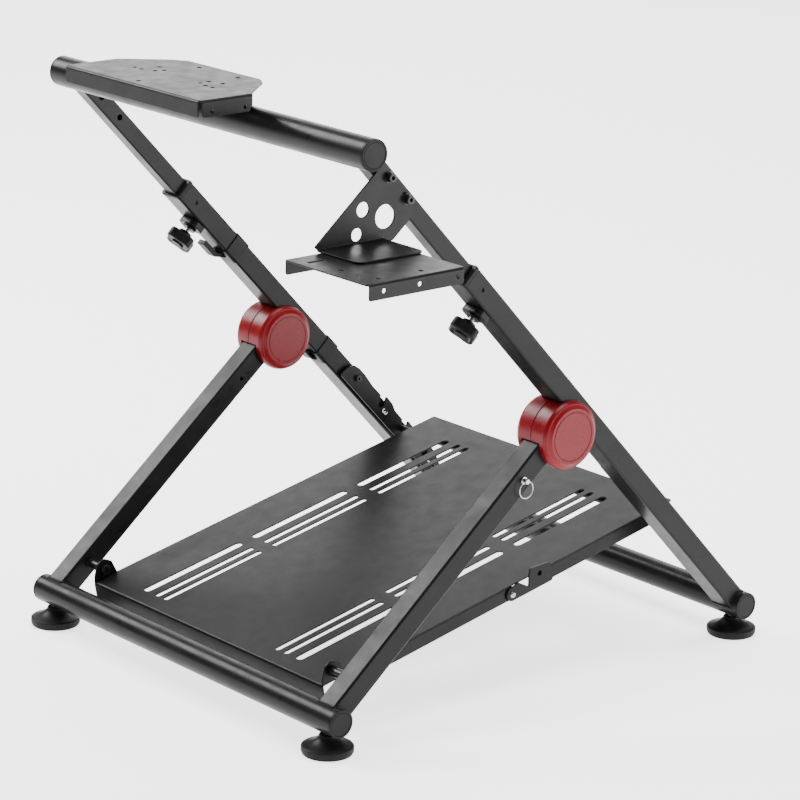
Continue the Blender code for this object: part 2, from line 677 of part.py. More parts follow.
def pedal_plate():
    """Sloping foot plate with a front flange and an ear at each front corner."""
    half = PEDAL_WIDTH / 2
    corner = 0.003
    outline = [(-half, 0), (half, 0)]
    outline += arc(half - corner, PEDAL_LENGTH - corner, corner, 0, 90, 4)
    outline += arc(-half + corner, PEDAL_LENGTH - corner, corner, 90, 180, 4)
    plate = piece("pedal_plate", flat_solid("pedal_plate", outline, SHEET, pedal_slots()), SATIN, PEDAL_FRAME,
                  (0, 0, -SHEET / 2))
    drop = 0.021
    flange_solid = box_solid("pedal_flange", (PEDAL_WIDTH - 2 * INSET, SHEET, drop))
    flange = cutter("pedal_flange", flange_solid, PEDAL_FRAME, (0, SHEET / 2 + INSET, -SHEET / 2 - drop / 2))
    combine(plate, "UNION", flange)
    hinge = pedal_coordinates(PEDAL_HINGE_Y, PEDAL_HINGE_Z)
    ear = [(0.0, -0.0015), (0.003, 0.010), *arc(hinge[0], hinge[1], 0.0145, 150, 75, 5), (0.0335, 0.0195),
           (0.0395, -0.0015)]
    hole = circle(hinge[0], hinge[1], BOLT_RADIUS + GAP)
    for side_name, side in SIDES:
        solid = flat_solid("pedal_ear", ear, SHEET, [hole])
        tool = cutter(f"pedal_ear_{side_name}", solid, PEDAL_FRAME, (side * (half - SHEET / 2 - 2 * INSET), 0, 0),
                      STAND_SIDEWAYS)
        combine(plate, "UNION", tool)


def side_rail(name, side, start, end):
    """Flat rail on edge under the side of the pedal plate."""
    middle = -SHEET - GAP - RAIL_DEPTH / 2
    solid = flat_solid(name, rounded_box(end - start, RAIL_DEPTH, 0.002, (start + end) / 2, middle), RAIL_THICKNESS)
    x = side * (PEDAL_WIDTH / 2 - RAIL_THICKNESS / 2)
    rail = piece(name, solid, STEEL, PEDAL_FRAME, (x, 0, 0), STAND_SIDEWAYS)
    rod_s, rod_v = ROD_PLACE
    if start < rod_s < end:
        drill(rail, PEDAL_FRAME, (x, rod_s, rod_v), TURNED_ALONG_X, HOOK_ROD_RADIUS + GAP, 0.02, 16)
    return rail


def hook_rod():
    """Round rod whose ends rest in the notches of both brackets."""
    rod_s, rod_v = ROD_PLACE
    end = 0.2753
    edge = 0.001
    profile = [(0, end), (HOOK_ROD_RADIUS - edge, end), (HOOK_ROD_RADIUS, end - edge),
               (HOOK_ROD_RADIUS, -end + edge), (HOOK_ROD_RADIUS - edge, -end), (0, -end)]
    turned_piece("hook_rod", profile, STEEL, PEDAL_FRAME, (0, rod_s, rod_v), TURNED_ALONG_X)


def rail_latch():
    """Fold lock on the right rail: a lever on a rivet with a V notch and a raised thumb tab."""
    thickness = 0.003
    outline = [*arc(0, 0, 0.0095, 100, 260, 6), (0.030, -0.0095), (0.072, -0.0095), (0.0735, -0.004),
               (0.071, 0.018), (0.036, 0.023), (0.033, 0.014), (0.030, -0.001), (0.014, 0.0115)]
    hole = circle(0.051, 0.010, 0.003, 10)
    bore = circle(0, 0, 0.003 + GAP)
    x = PEDAL_WIDTH / 2 + GAP + thickness / 2
    piece("rail_latch", flat_solid("rail_latch", outline, thickness, [bore, hole]), STEEL, LATCH_FRAME,
          (x, 0, 0), STAND_SIDEWAYS)


def latch_rivet():
    """Domed rivet that carries the latch on the right rail."""
    inner = PEDAL_WIDTH / 2 - RAIL_THICKNESS - GAP
    outer = PEDAL_WIDTH / 2 + 0.003 + 2 * GAP
    profile = [(0, outer + 0.003), (0.0025, outer + 0.0025), (0.0044, outer + 0.001), (0.0044, outer),
               (0.003, outer), (0.003, inner), (0.005, inner), (0.005, inner - 0.002), (0, inner - 0.002)]
    rivet_s, rivet_v = LATCH_PLACE
    turned_piece("latch_rivet", profile, ZINC, PEDAL_FRAME, (0, rivet_s, rivet_v), TURNED_ALONG_X)


def build_pedal_frame():
    """Pedal plate and everything that swings with it."""
    pedal_plate()
    side_rail("side_rail_left", -1, 0.040, 0.600)
    front_rail = side_rail("side_rail_right_front", 1, 0.040, 0.332)
    rivet_s, rivet_v = LATCH_PLACE
    drill(front_rail, PEDAL_FRAME, (PEDAL_WIDTH / 2, rivet_s, rivet_v), TURNED_ALONG_X, 0.003 + GAP, 0.02, 12)
    side_rail("side_rail_right_rear", 1, 0.372, 0.600)
    hook_rod()
    latch_rivet()
    rail_latch()


# ---------------------------------------------------------------- upper frame
def inner_tube(name, side):
    """Square telescoping tube from inside the long leg to the top cross tube."""
    outer = rounded_box(INNER_TUBE_SIDE, INNER_TUBE_SIDE, 0.002)
    bore_side = INNER_TUBE_SIDE - 2 * TUBE_WALL
    bore = rounded_box(bore_side, bore_side, 0.001)
    length = TOP_TUBE_ALONG - INNER_TUBE_START
    x = side * MAIN_LEG_X
    tube = piece(name, flat_solid(name, outer, length, [bore]), STEEL, SLIDING_LEG_FRAME,
                 (x, 0, INNER_TUBE_START + length / 2))
    drill(tube, SLIDING_LEG_FRAME, (x, TOP_TUBE_OFF, TOP_TUBE_ALONG), TURNED_ALONG_X, TOP_TUBE_RADIUS + GAP,
          0.06, ROUND_STEPS)
    for y, z in GUSSET_BOLTS:
        along, off = main_leg_coordinates(y, z)
        drill(tube, SLIDING_LEG_FRAME, (x, off, along), TURNED_ALONG_X, BOLT_RADIUS + GAP, 0.06, 12)


def wheel_plate():
    """Plate for the wheel base with a flange down on its front and sides."""
    front = -0.088
    half = 0.143
    side_end = -0.006
    back = 0.060
    outline = [(-half, front), (half, front), (half, side_end), (0.094, 0.048),
               *arc(0.066, back - 0.010, 0.010, 40, 90, 3), *arc(-0.066, back - 0.010, 0.010, 90, 140, 3),
               (-0.094, 0.048), (-half, side_end)]
    places = ((-0.0785, -0.0234), (-0.0648, -0.0235), (-0.0446, -0.0164), (-0.0617, 0.0035),
              (-0.0413, -0.0046), (-0.0036, -0.0723), (-0.0302, 0.0424), (0.0509, -0.017),
              (0.0506, -0.0038), (0.0677, -0.0219), (0.0833, -0.0228), (0.0702, 0.0031), (0.0497, 0.043))
    holes = [circle(x, y, 0.0032, 10) for x, y in places]
    frame = UPPER_BODY
    plate = piece("wheel_plate", flat_solid("wheel_plate", outline, SHEET, holes), SATIN, frame,
                  (0, 0, WHEEL_PLATE_Z - SHEET / 2))
    drop = 0.0205
    z = WHEEL_PLATE_Z - SHEET / 2 - drop / 2
    flange = cutter("wheel_flange_front", box_solid("wheel_flange", (2 * half - 2 * INSET, SHEET, drop)), frame,
                    (0, front + SHEET / 2 + INSET, z))
    combine(plate, "UNION", flange)
    length = side_end - front - 4 * INSET
    for side_name, side in SIDES:
        flange = cutter(f"wheel_flange_{side_name}", box_solid("wheel_flange", (SHEET, length, drop)), frame,
                        (side * (half - SHEET / 2 - 2 * INSET), front + 2 * INSET + length / 2, z))
        combine(plate, "UNION", flange)
    for y in (-0.069, -0.0175):
        drill(plate, frame, (0, y, 0.805), TURNED_ALONG_X, 0.0026, 0.4, 10)


def wheel_plate_bracket():
    """Welded bridge between the top tube and the wheel plate."""
    top = WHEEL_PLATE_Z - SHEET - GAP
    bottom = TOP_TUBE_Z
    half = 0.022
    outline = [(TOP_TUBE_Y - half, bottom), (TOP_TUBE_Y + half, bottom), (TOP_TUBE_Y + half, top),
               (TOP_TUBE_Y - half, top)]
    width = 0.120
    wall = 0.003
    bracket = piece("wheel_plate_bracket", flat_solid("wheel_plate_bracket", outline, width), STEEL, UPPER_BODY,
                    (0, 0, 0), STAND_SIDEWAYS)
    height = top - wall - bottom + 0.01
    cut_box(bracket, UPPER_BODY, (0, TOP_TUBE_Y, top - wall - height / 2), (width - 2 * wall, 0.1, height))
    drill(bracket, UPPER_BODY, (0, TOP_TUBE_Y, TOP_TUBE_Z), TURNED_ALONG_X, TOP_TUBE_RADIUS + GAP, 0.2, ROUND_STEPS)
    cut_box(bracket, UPPER_BODY, (0, TOP_TUBE_Y, bottom), (0.2, 0.1, 2 * TOP_TUBE_RADIUS - 0.012))


def shifter_gusset():
    """Triangular plate on the right inner tube with a foot bent out over the shelf."""
    foot_thickness = 0.002
    foot_width = 0.080
    foot_length = 0.104
    foot_corner = 0.010
    foot_bottom = SHELF_Z + GAP
    bottom = foot_bottom + INSET
    outline = [(-0.043, bottom), (0.0665, bottom), (0.080, 0.6560), (0.106, 0.678), (0.110, 0.690),
               (0.069, 0.753), (0.062, 0.755), (0.049, 0.742), (-0.043, bottom + 1.4 * foot_thickness)]
    bolts = [circle(y, z, BOLT_RADIUS + GAP) for y, z in GUSSET_BOLTS]
    large_hole = circle(0.067, 0.688, 0.0152, 20)
    upper_hole = circle(0.0317, 0.7012, 0.0095, 18)
    lower_hole = circle(0.0228, 0.6702, 0.0083, 14)
    holes = [*bolts, large_hole, upper_hole, lower_hole]
    gusset = piece("shifter_gusset", flat_solid("shifter_gusset", outline, GUSSET_THICKNESS, holes), SATIN,
                   UPPER_BODY, (GUSSET_X, 0, 0), STAND_SIDEWAYS)
    foot_x = GUSSET_X - GUSSET_THICKNESS / 2 + INSET + foot_width / 2
    foot = rounded_box(foot_width, foot_length, foot_corner, foot_x, 0.014)
    solid = flat_solid("gusset_foot", foot, foot_thickness)
    z = foot_bottom + foot_thickness / 2
    combine(gusset, "UNION", cutter("gusset_foot", solid, UPPER_BODY, (0, 0, z)))


def shifter_shelf():
    """Level shelf for the gear shifter with a flange down on both long sides."""
    middle_x = (SHELF_INNER_X + SHELF_OUTER_X) / 2
    middle_y = (SHELF_FRONT_Y + SHELF_BACK_Y) / 2
    width = SHELF_OUTER_X - SHELF_INNER_X
    length = SHELF_BACK_Y - SHELF_FRONT_Y
    outline = rounded_box(width, length, 0.002, middle_x, middle_y, 1)
    holes = [circle(0.452, -0.060, 0.0032, 10), circle(0.452, 0.005, 0.0032, 10),
             slot_outline(0.345, -0.080, -0.056, 0.0064), circle(0.395, -0.070, 0.0032, 10)]
    shelf = piece("shifter_shelf", flat_solid("shifter_shelf", outline, SHEET, holes), SATIN, UPPER_BODY,
                  (0, 0, SHELF_Z - SHEET / 2))
    drop = 0.019
    inset = SHEET / 2 + INSET
    for number, x in enumerate((SHELF_INNER_X + inset, SHELF_OUTER_X - inset)):
        solid = box_solid("shelf_flange", (SHEET, length - 0.005, drop))
        z = SHELF_Z - SHEET / 2 - drop / 2
        flange = cutter(f"shelf_flange_{number}", solid, UPPER_BODY, (x, middle_y, z))
        combine(shelf, "UNION", flange)
    for y in (-0.066, -0.011, 0.047):
        drill(shelf, UPPER_BODY, (SHELF_OUTER_X, y, SHELF_Z - 0.010), TURNED_ALONG_X, 0.003, 0.02, 10)


def gusset_bolt(name, y, z):
    """Socket-head bolt and nut that hold the gusset to the inner tube."""
    inner_face = MAIN_LEG_X - INNER_TUBE_SIDE / 2 - GAP
    outer_face = GUSSET_X + GUSSET_THICKNESS / 2 + GAP
    profile = [(0, outer_face + 0.007), (0.0055, outer_face + 0.007), (0.006, outer_face + 0.006),
               (0.006, outer_face), (BOLT_RADIUS, outer_face), (BOLT_RADIUS, inner_face), (0.0065, inner_face),
               (0.0065, inner_face - 0.005), (0, inner_face - 0.005)]
    turned_piece(name, profile, BLACK_BOLT, UPPER_BODY, (0, y, z), TURNED_ALONG_X)


def build_upper_frame():
    """The telescoping part: inner tubes, top tube, wheel plate and shifter shelf."""
    cross_tube("top_cross_tube", UPPER_BODY, (0, TOP_TUBE_Y, TOP_TUBE_Z), TOP_TUBE_RADIUS, TOP_TUBE_LENGTH)
    end_caps("top_tube", UPPER_BODY, TOP_TUBE_Y, TOP_TUBE_Z, TOP_TUBE_RADIUS, TOP_TUBE_LENGTH)
    for side_name, side in SIDES:
        inner_tube(f"inner_tube_{side_name}", side)
    wheel_plate()
    wheel_plate_bracket()
    shifter_gusset()
    shifter_shelf()
    for number, (y, z) in enumerate(GUSSET_BOLTS, start=1):
        gusset_bolt(f"gusset_bolt_{number}", y, z)


# ---------------------------------------------------------------- knobs
def star_outline(radius, lobes, depth, steps):
    """Outline of a star knob."""
    points = []
    for step in range(steps):
        turn = 2 * math.pi * step / steps
        reach = radius * (1 - depth * (1 - math.cos(lobes * turn)) / 2)
        points.append((reach * math.cos(turn), reach * math.sin(turn)))
    return points


def lock_knob(name, frame):
    """Star knob on a threaded stud; the frame's -Y axis is the stud's axis."""
    tip = -INNER_TUBE_SIDE / 2 - 2 * GAP
    body_top = -0.054
    body_bottom = -0.039
    star = flat_solid(name, star_outline(0.0225, 4, 0.22, 40), body_bottom - body_top)
    knob = piece(name, star, PLASTIC, frame, (0, (body_top + body_bottom) / 2, 0), STAND_FACING)
    stud_profile = [(0, -body_top - 0.002), (0.009, -body_top - 0.002), (0.009, -body_bottom - 0.004),
                    (0.0085, 0.0335), (BOLT_RADIUS, 0.0335), (BOLT_RADIUS, -tip), (0, -tip)]
    stud = cutter(name + "_stud", profile_mesh("stud", stud_profile, False), frame, (0, 0, 0),
                  TURNED_ALONG_MINUS_Y)
    turn_profile(stud, SMALL_STEPS)
    combine(knob, "UNION", stud)


# ---------------------------------------------------------------- assembly
clear_scene()
PARTS = new_collection("racing_wheel_stand")
CUTTERS = new_collection("cutters")

STEEL = new_material("black_painted_steel", (0.022, 0.022, 0.023), 0.38, 0.0)
SATIN = new_material("black_painted_sheet", (0.026, 0.026, 0.028), 0.45, 0.0)
PLASTIC = new_material("black_plastic", (0.018, 0.018, 0.019), 0.50, 0.0)
RED = new_material("red_plastic", (0.42, 0.012, 0.022), 0.38, 0.0)
ZINC = new_material("bright_zinc", (0.72, 0.72, 0.70), 0.28, 1.0)
BLACK_BOLT = new_material("black_oxide", (0.030, 0.030, 0.032), 0.40, 1.0)

TOP_TUBE_Y, TOP_TUBE_Z = main_leg_place(TOP_TUBE_ALONG, TOP_TUBE_OFF)
GUSSET_BOLTS = ((0.0726, 0.7365), (0.1022, 0.7052))
ROD_PLACE = pedal_coordinates(*main_leg_place(HOOK_ROD_ALONG, HOOK_ROD_OFF))
LATCH_PLACE = (0.326, -0.012)

CENTRE_X = (SHELF_OUTER_X - FOOT_X - FOOT_RADIUS) / 2
CENTRE_Y = (REAR_TUBE_Y + FOOT_RADIUS + SHELF_FRONT_Y) / 2
ROOT = new_frame("stand", None, (-CENTRE_X, -CENTRE_Y, 0))
MAIN_LEG_FRAME = new_frame("main_leg_frame", ROOT, (0, REAR_TUBE_Y, BASE_TUBE_Z), 90 - MAIN_LEG_ANGLE)
FRONT_BODY = new_frame("fold_hinge", ROOT, (0, HUB_Y, HUB_Z))
SHORT_LEG_FRAME = new_frame("short_leg_frame", FRONT_BODY, (0, -HUB_Y, BASE_TUBE_Z - HUB_Z),
                            SHORT_LEG_ANGLE - 90)
PEDAL_BODY = new_frame("pedal_hinge", FRONT_BODY, (0, PEDAL_HINGE_Y - HUB_Y, PEDAL_HINGE_Z - HUB_Z))
PEDAL_FRAME = new_frame("pedal_plate_frame", PEDAL_BODY,
                        (0, PEDAL_FRONT_Y - PEDAL_HINGE_Y, PEDAL_FRONT_Z - PEDAL_HINGE_Z), PEDAL_SLOPE)
LATCH_FRAME = new_frame("latch_hinge", PEDAL_FRAME, (0, *LATCH_PLACE))
UPPER_BODY = new_frame("height_slide", ROOT, (0, 0, 0))
SLIDING_LEG_FRAME = new_frame("sliding_leg_frame", UPPER_BODY, (0, REAR_TUBE_Y, BASE_TUBE_Z),
                              90 - MAIN_LEG_ANGLE)

build_main_frame()
build_front_frame()
build_pedal_frame()
build_upper_frame()
for side_name, side in SIDES:
    knob_frame = new_frame(f"knob_hinge_{side_name}", MAIN_LEG_FRAME, (side * MAIN_LEG_X, 0, KNOB_ALONG))
    lock_knob(f"lock_knob_{side_name}", knob_frame)
    rear_foot = new_frame(f"rear_foot_slide_{side_name}", ROOT, (side * FOOT_X, REAR_TUBE_Y, 0))
    levelling_foot(f"rear_foot_{side_name}", rear_foot, (0, 0, 0))
    front_foot = new_frame(f"front_foot_slide_{side_name}", FRONT_BODY, (side * FOOT_X, -HUB_Y, -HUB_Z))
    levelling_foot(f"front_foot_{side_name}", front_foot, (0, 0, 0))
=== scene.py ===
"""Folding floor stand for a racing wheel, a gear shifter and pedals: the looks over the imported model.

Metres, +Z up.  Positions are written in the design frame (X = 0 between the legs, Y = 0 on the axis of
the front cross tube, Z = 0 on the floor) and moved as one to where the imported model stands.
"""
import math
import bmesh
import bpy
from mathutils import Euler, Matrix, Vector


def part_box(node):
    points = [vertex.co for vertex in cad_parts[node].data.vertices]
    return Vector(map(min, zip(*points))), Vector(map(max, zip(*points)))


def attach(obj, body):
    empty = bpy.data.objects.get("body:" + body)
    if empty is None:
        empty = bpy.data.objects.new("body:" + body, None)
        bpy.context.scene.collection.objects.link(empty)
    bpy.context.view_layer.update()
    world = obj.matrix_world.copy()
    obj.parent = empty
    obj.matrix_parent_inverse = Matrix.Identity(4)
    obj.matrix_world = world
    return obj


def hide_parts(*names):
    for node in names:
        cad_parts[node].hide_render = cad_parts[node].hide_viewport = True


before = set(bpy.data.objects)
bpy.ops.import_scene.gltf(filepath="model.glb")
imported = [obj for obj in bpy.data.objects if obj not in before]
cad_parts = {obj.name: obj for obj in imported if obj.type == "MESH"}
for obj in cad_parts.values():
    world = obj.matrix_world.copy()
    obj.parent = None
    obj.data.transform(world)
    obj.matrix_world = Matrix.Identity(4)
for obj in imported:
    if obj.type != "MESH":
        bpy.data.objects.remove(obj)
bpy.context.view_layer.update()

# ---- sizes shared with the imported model
GAP = 0.0003
WALL = 0.0015
SHEET = 0.002
BASE_RADIUS = 0.01905
BASE_LENGTH = 0.651
REAR_Y = 0.7258
TOP_RADIUS = 0.0203
TOP_LENGTH = 0.653
MAIN_X = 0.2971
MAIN_ANGLE = 46.5
MAIN_WIDTH = 0.0382
MAIN_DEPTH = 0.0303
MAIN_MOUTH = 0.7494
SHORT_X = 0.2968
SHORT_ANGLE = 40.0
SHORT_WIDTH = 0.0324
SHORT_DEPTH = 0.0315
TUBE_CORNER = 0.0032
INNER_SIDE = 0.0244
INNER_START = 0.594
TOP_ALONG = 0.9994
TOP_OFF = -0.0012
HUB_Y = 0.3801
HUB_Z = 0.3550
HUB_RADIUS = 0.046
HUB_INNER_X = 0.2652
HUB_OUTER_X = 0.3290
HUB_SHELL = 0.003
FOLD_SWEEP = 93.5
HINGE_Y = 0.0475
HINGE_Z = 0.0835
PEDAL_Y = 0.0303
PEDAL_Z = 0.0676
PEDAL_SLOPE = 11.87
PEDAL_WIDTH = 0.500
PEDAL_LENGTH = 0.6304
RAIL_DEPTH = 0.018
RAIL_THICKNESS = 0.0025
ROD_RADIUS = 0.005
ROD_ALONG = 0.1799
ROD_OFF = 0.0049
NOTCH_PITCH = 0.062
BRACKET_X = 0.2725
BRACKET_THICKNESS = 0.003
WHEEL_Z = 0.8202
SHELF_Z = 0.6580
SHELF_INNER_X = 0.3131
SHELF_OUTER_X = 0.4700
SHELF_FRONT_Y = -0.0910
SHELF_BACK_Y = 0.0600
GUSSET_INNER_X = 0.3098
GUSSET_THICKNESS = 0.0025
BOLT_BORE = 0.0043
GUSSET_BOLTS = ((0.0726, 0.7365), (0.1022, 0.7052))
FOOT_X = 0.2986
FOOT_RADIUS = 0.034
PIN_ALONG = 0.404
PIN_OFF = 0.001
KNOB_ALONG = 0.695
LATCH_PLACE = (0.326, -0.012)
BEND = 0.0028                   # radius of the sheet metal's bends, to the middle of the sheet
FOLD = BEND + SHEET / 2          # from a bent sheet's outer face to its bend line
BEND_LENGTH = BEND * math.pi / 2
BEAD_PITCH = 0.0034             # from scale to scale of a weld bead
CAP_FACE = 0.003                # how far an end cap stands out of its tube
PLUG_LENGTH = 0.012             # how far it reaches in

LIE_FLAT = (0, 0, 0)            # outline in XY, thickness along Z
STAND_SIDEWAYS = (90, 0, 90)    # outline in YZ, thickness along X
STAND_FACING = (90, 0, 0)       # outline in XZ, thickness along Y; also turns Z to -Y
ALONG_X = (0, 90, 0)
ALONG_MINUS_X = (0, -90, 0)
ACROSS = Matrix.Rotation(math.radians(90), 4, "Y")
SIDES = (("left", -1), ("right", 1))

tube_low, tube_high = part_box("front_cross_tube")
tube_middle = (tube_low + tube_high) / 2
BASE_Z = tube_middle.z
ORIGIN = Matrix.Translation((tube_middle.x, tube_middle.y, 0))


def tilted(x, y, z, degrees):
    """A carrying frame at a point, turned about X."""
    return Matrix.Translation((x, y, z)) @ Matrix.Rotation(math.radians(degrees), 4, "X")


ROOT = Matrix.Identity(4)
MAIN = tilted(0, REAR_Y, BASE_Z, 90 - MAIN_ANGLE)
SHORT = tilted(0, 0, BASE_Z, SHORT_ANGLE - 90)
PEDAL = tilted(0, PEDAL_Y, PEDAL_Z, PEDAL_SLOPE)


def at(carrier, location=(0, 0, 0), turn=LIE_FLAT):
    """Matrix of a piece placed in a carrying frame."""
    angles = Euler([math.radians(angle) for angle in turn])
    return carrier @ Matrix.Translation(location) @ angles.to_matrix().to_4x4()


def outwards(side):
    """Turn that points a piece's Z away from the stand's middle."""
    return ALONG_X if side > 0 else ALONG_MINUS_X


def local(carrier, y, z):
    """Y and Z of a design-frame point in a carrying frame."""
    point = carrier.inverted() @ Vector((0, y, z))
    return point.y, point.z


def design(carrier, y, z):
    """Design-frame Y and Z of a point in a carrying frame."""
    point = carrier @ Vector((0, y, z))
    return point.y, point.z


TOP_Y, TOP_Z = design(MAIN, TOP_OFF, TOP_ALONG)
ROD_S, ROD_V = local(PEDAL, *design(MAIN, ROD_OFF, ROD_ALONG))


# ---- outlines
def arc(x, y, radius, start, end, steps=8):
    """Points of an arc, angles in degrees."""
    points = []
    for step in range(steps + 1):
        turn = math.radians(start + (end - start) * step / steps)
        points.append((x + radius * math.cos(turn), y + radius * math.sin(turn)))
    return points


def circle(x, y, radius, steps=32):
    """Points of a circle."""
    return arc(x, y, radius, 0, 360 - 360 / steps, steps - 1)


def rounded_box(width, height, radius, x=0.0, y=0.0, steps=6):
    """Points of a rectangle with round corners."""
    points = []
    for side, level, start in ((1, 1, 0), (-1, 1, 90), (-1, -1, 180), (1, -1, 270)):
        middle_x = x + side * (width / 2 - radius)
        middle_y = y + level * (height / 2 - radius)
        points += arc(middle_x, middle_y, radius, start, start + 90, steps)
    return points


def slot_outline(x, start, end, width, steps=10):
    """Points of a slot along Y with round ends."""
    radius = width / 2
    return arc(x, end - radius, radius, 0, 180, steps) + arc(x, start + radius, radius, 180, 360, steps)


def hexagon(across):
    """Points of a hexagon, given the distance across its flats."""
    return circle(0, 0, across / math.sqrt(3), 6)


def filleted(corners, closed=True, steps=5):
    """Round the corners of a line: a corner is (x, y), or (x, y, radius) where it is rounded."""
    points = []
    count = len(corners)
    for index, corner in enumerate(corners):
        here = Vector(corner[:2])
        at_end = not closed and index in (0, count - 1)
        if len(corner) == 2 or at_end:
            points.append(tuple(here))
            continue
        before = Vector(corners[index - 1][:2]) - here
        after = Vector(corners[(index + 1) % count][:2]) - here
        half = before.angle(after) / 2
        reach = min(corner[2] / math.tan(half), 0.48 * before.length, 0.48 * after.length)
        radius = reach * math.tan(half)
        inwards = (before.normalized() + after.normalized()).normalized()
        centre = here + inwards * radius / math.sin(half)
        first = here + before.normalized() * reach - centre
        last = here + after.normalized() * reach - centre
        sweep = first.angle_signed(last)
        for step in range(steps + 1):
            turn = Matrix.Rotation(-sweep * step / steps, 2)
            points.append(tuple(centre + turn @ first))
    return points


def eased(corners):
    """Round the corners of an open line; its ends stay."""
    return filleted(corners, closed=False)


def resampled(path, pitch, closed=True):
    """Put points at an even pitch along a line."""
    path = [Vector(point) for point in path]
    ends = path[1:] + path[:1] if closed else path[1:]
    points = []
    for start, end in zip(path, ends):
        count = max(1, round((end - start).length / pitch))
        points += [start.lerp(end, step / count) for step in range(count)]
    if not closed:
        points.append(path[-1])
    return points


# ---- solids
def linked(name, data):
    """A new object in the scene."""
    obj = bpy.data.objects.new(name, data)
    bpy.context.scene.collection.objects.link(obj)
    return obj


def mesh_from(curve):
    """Mesh of a curve's filled shape."""
    shape = linked(curve.name, curve)
    graph = bpy.context.evaluated_depsgraph_get()
    mesh = bpy.data.meshes.new_from_object(shape.evaluated_get(graph))
    bpy.data.objects.remove(shape)
    bpy.data.curves.remove(curve)
    return mesh


def mesh_of(work):
    """Close a working mesh, turn its faces outwards and hand it back."""
    bmesh.ops.remove_doubles(work, verts=work.verts, dist=1e-6)
    bmesh.ops.recalc_face_normals(work, faces=work.faces)
    mesh = bpy.data.meshes.new("piece")
    work.to_mesh(mesh)
    work.free()
    return mesh


def plate(outline, thickness, holes=(), edge=0.0004):
    """A flat solid with rounded edges, from an outline and its holes; the middle lies on Z = 0."""
    curve = bpy.data.curves.new("outline", "CURVE")
    curve.dimensions = "2D"
    curve.fill_mode = "BOTH"
    curve.extrude = thickness / 2 - edge
    curve.bevel_depth = edge
    curve.offset = -edge
    curve.bevel_resolution = 2
    for loop in (outline, *holes):
        spline = curve.splines.new("POLY")
        spline.points.add(len(loop) - 1)
        for point, (u, v) in zip(spline.points, loop):
            point.co = (u, v, 0, 1)
        spline.use_cyclic_u = True
    work = bmesh.new()
    work.from_mesh(mesh_from(curve))
    return mesh_of(work)


def turned(profile, steps=96, shape=None, closed=False):
    """Turn a profile of (radius, height) points about Z; shape may change the radius round the turn."""
    work = bmesh.new()
    rings = []
    for radius, height in profile:
        if radius == 0:
            rings.append([work.verts.new((0, 0, height))] * steps)
            continue
        ring = []
        for step in range(steps):
            turn = 2 * math.pi * step / steps
            reach = shape(turn, radius, height) if shape else radius
            ring.append(work.verts.new((reach * math.cos(turn), reach * math.sin(turn), height)))
        rings.append(ring)
    if closed:
        rings.append(rings[0])
    for upper, lower in zip(rings, rings[1:]):
        for step in range(steps):
            after = (step + 1) % steps
            corners = list(dict.fromkeys((upper[step], upper[after], lower[after], lower[step])))
            if len(corners) > 2:
                work.faces.new(corners)
    return mesh_of(work)


def rod(radius, length, steps=48):
    """A plain cylinder used for cutting."""
    half = length / 2
    return turned([(0, half), (radius, half), (radius, -half), (0, -half)], steps)


def drill(radius, x=0.0, y=0.0, z=0.0, length=0.06, steps=24):
    """Cutting tool along X at a point of the mesh's own frame."""
    return rod(radius, length, steps), Matrix.Translation((x, y, z)) @ ACROSS


def block(size):
    """A plain box used for cutting."""
    work = bmesh.new()
    bmesh.ops.create_cube(work, size=1.0, matrix=Matrix.Diagonal((*size, 1)))
    return mesh_of(work)


def swept(path, radius, sides=10, ripple=0.0, closed=True):
    """Sweep a round section along a line; ripple makes the scales of a weld bead."""
    count = len(path)
    middle = sum(path, Vector()) / count
    work = bmesh.new()
    rings = []
    travelled = 0.0
    for index, point in enumerate(path):
        before = path[index - 1] if closed or index else point
        after = path[(index + 1) % count] if closed or index < count - 1 else point
        ahead = (after - before).normalized()
        away = point - middle
        away = (away - ahead * away.dot(ahead)).normalized()
        sideways = ahead.cross(away)
        if index:
            travelled += (point - path[index - 1]).length
        reach = radius * (1 + ripple * math.cos(2 * math.pi * travelled / BEAD_PITCH))
        ring = []
        for side in range(sides):
            turn = 2 * math.pi * side / sides
            round_it = math.cos(turn) * away + math.sin(turn) * sideways
            ring.append(work.verts.new(point + reach * round_it))
        rings.append(ring)
    pairs = list(zip(rings, rings[1:]))
    if closed:
        pairs.append((rings[-1], rings[0]))
    else:
        work.faces.new(rings[0])
        work.faces.new(rings[-1])
    for first, second in pairs:
        for side in range(sides):
            after = (side + 1) % sides
            work.faces.new((first[side], first[after], second[after], second[side]))
    return mesh_of(work)


def bent(mesh, start, direction, degrees, limits=None, radius=BEND, steps=7):
    """Bend what lies past a line of a flat sheet round an arc: down for a positive angle, else up."""
    angle = math.radians(abs(degrees))
    sign = 1 if degrees > 0 else -1
    ahead = Vector((*direction, 0)).normalized()
    across = Vector((-ahead.y, ahead.x, 0))
    origin = Vector((*start, 0))
    work = bmesh.new()
    work.from_mesh(mesh)
    for step in range(steps + 1):
        point = origin + ahead * radius * angle * step / steps
        everything = work.verts[:] + work.edges[:] + work.faces[:]
        bmesh.ops.bisect_plane(work, geom=everything, plane_co=point, plane_no=ahead, dist=1e-7)
    for vertex in work.verts:
        offset = vertex.co - origin
        past = offset.dot(ahead)
        side = offset.dot(across)
        if past <= 0 or (limits and not limits[0] <= side <= limits[1]):
            continue
        turn = min(past / radius, angle)
        straight = max(past - radius * angle, 0)
        reach = (radius + sign * offset.z) * math.sin(turn) + straight * math.cos(turn)
        rise = (radius + sign * offset.z) * math.cos(turn) - radius - straight * math.sin(turn)
        vertex.co = origin + ahead * reach + across * side + Vector((0, 0, sign * rise))
    return mesh_of(work)


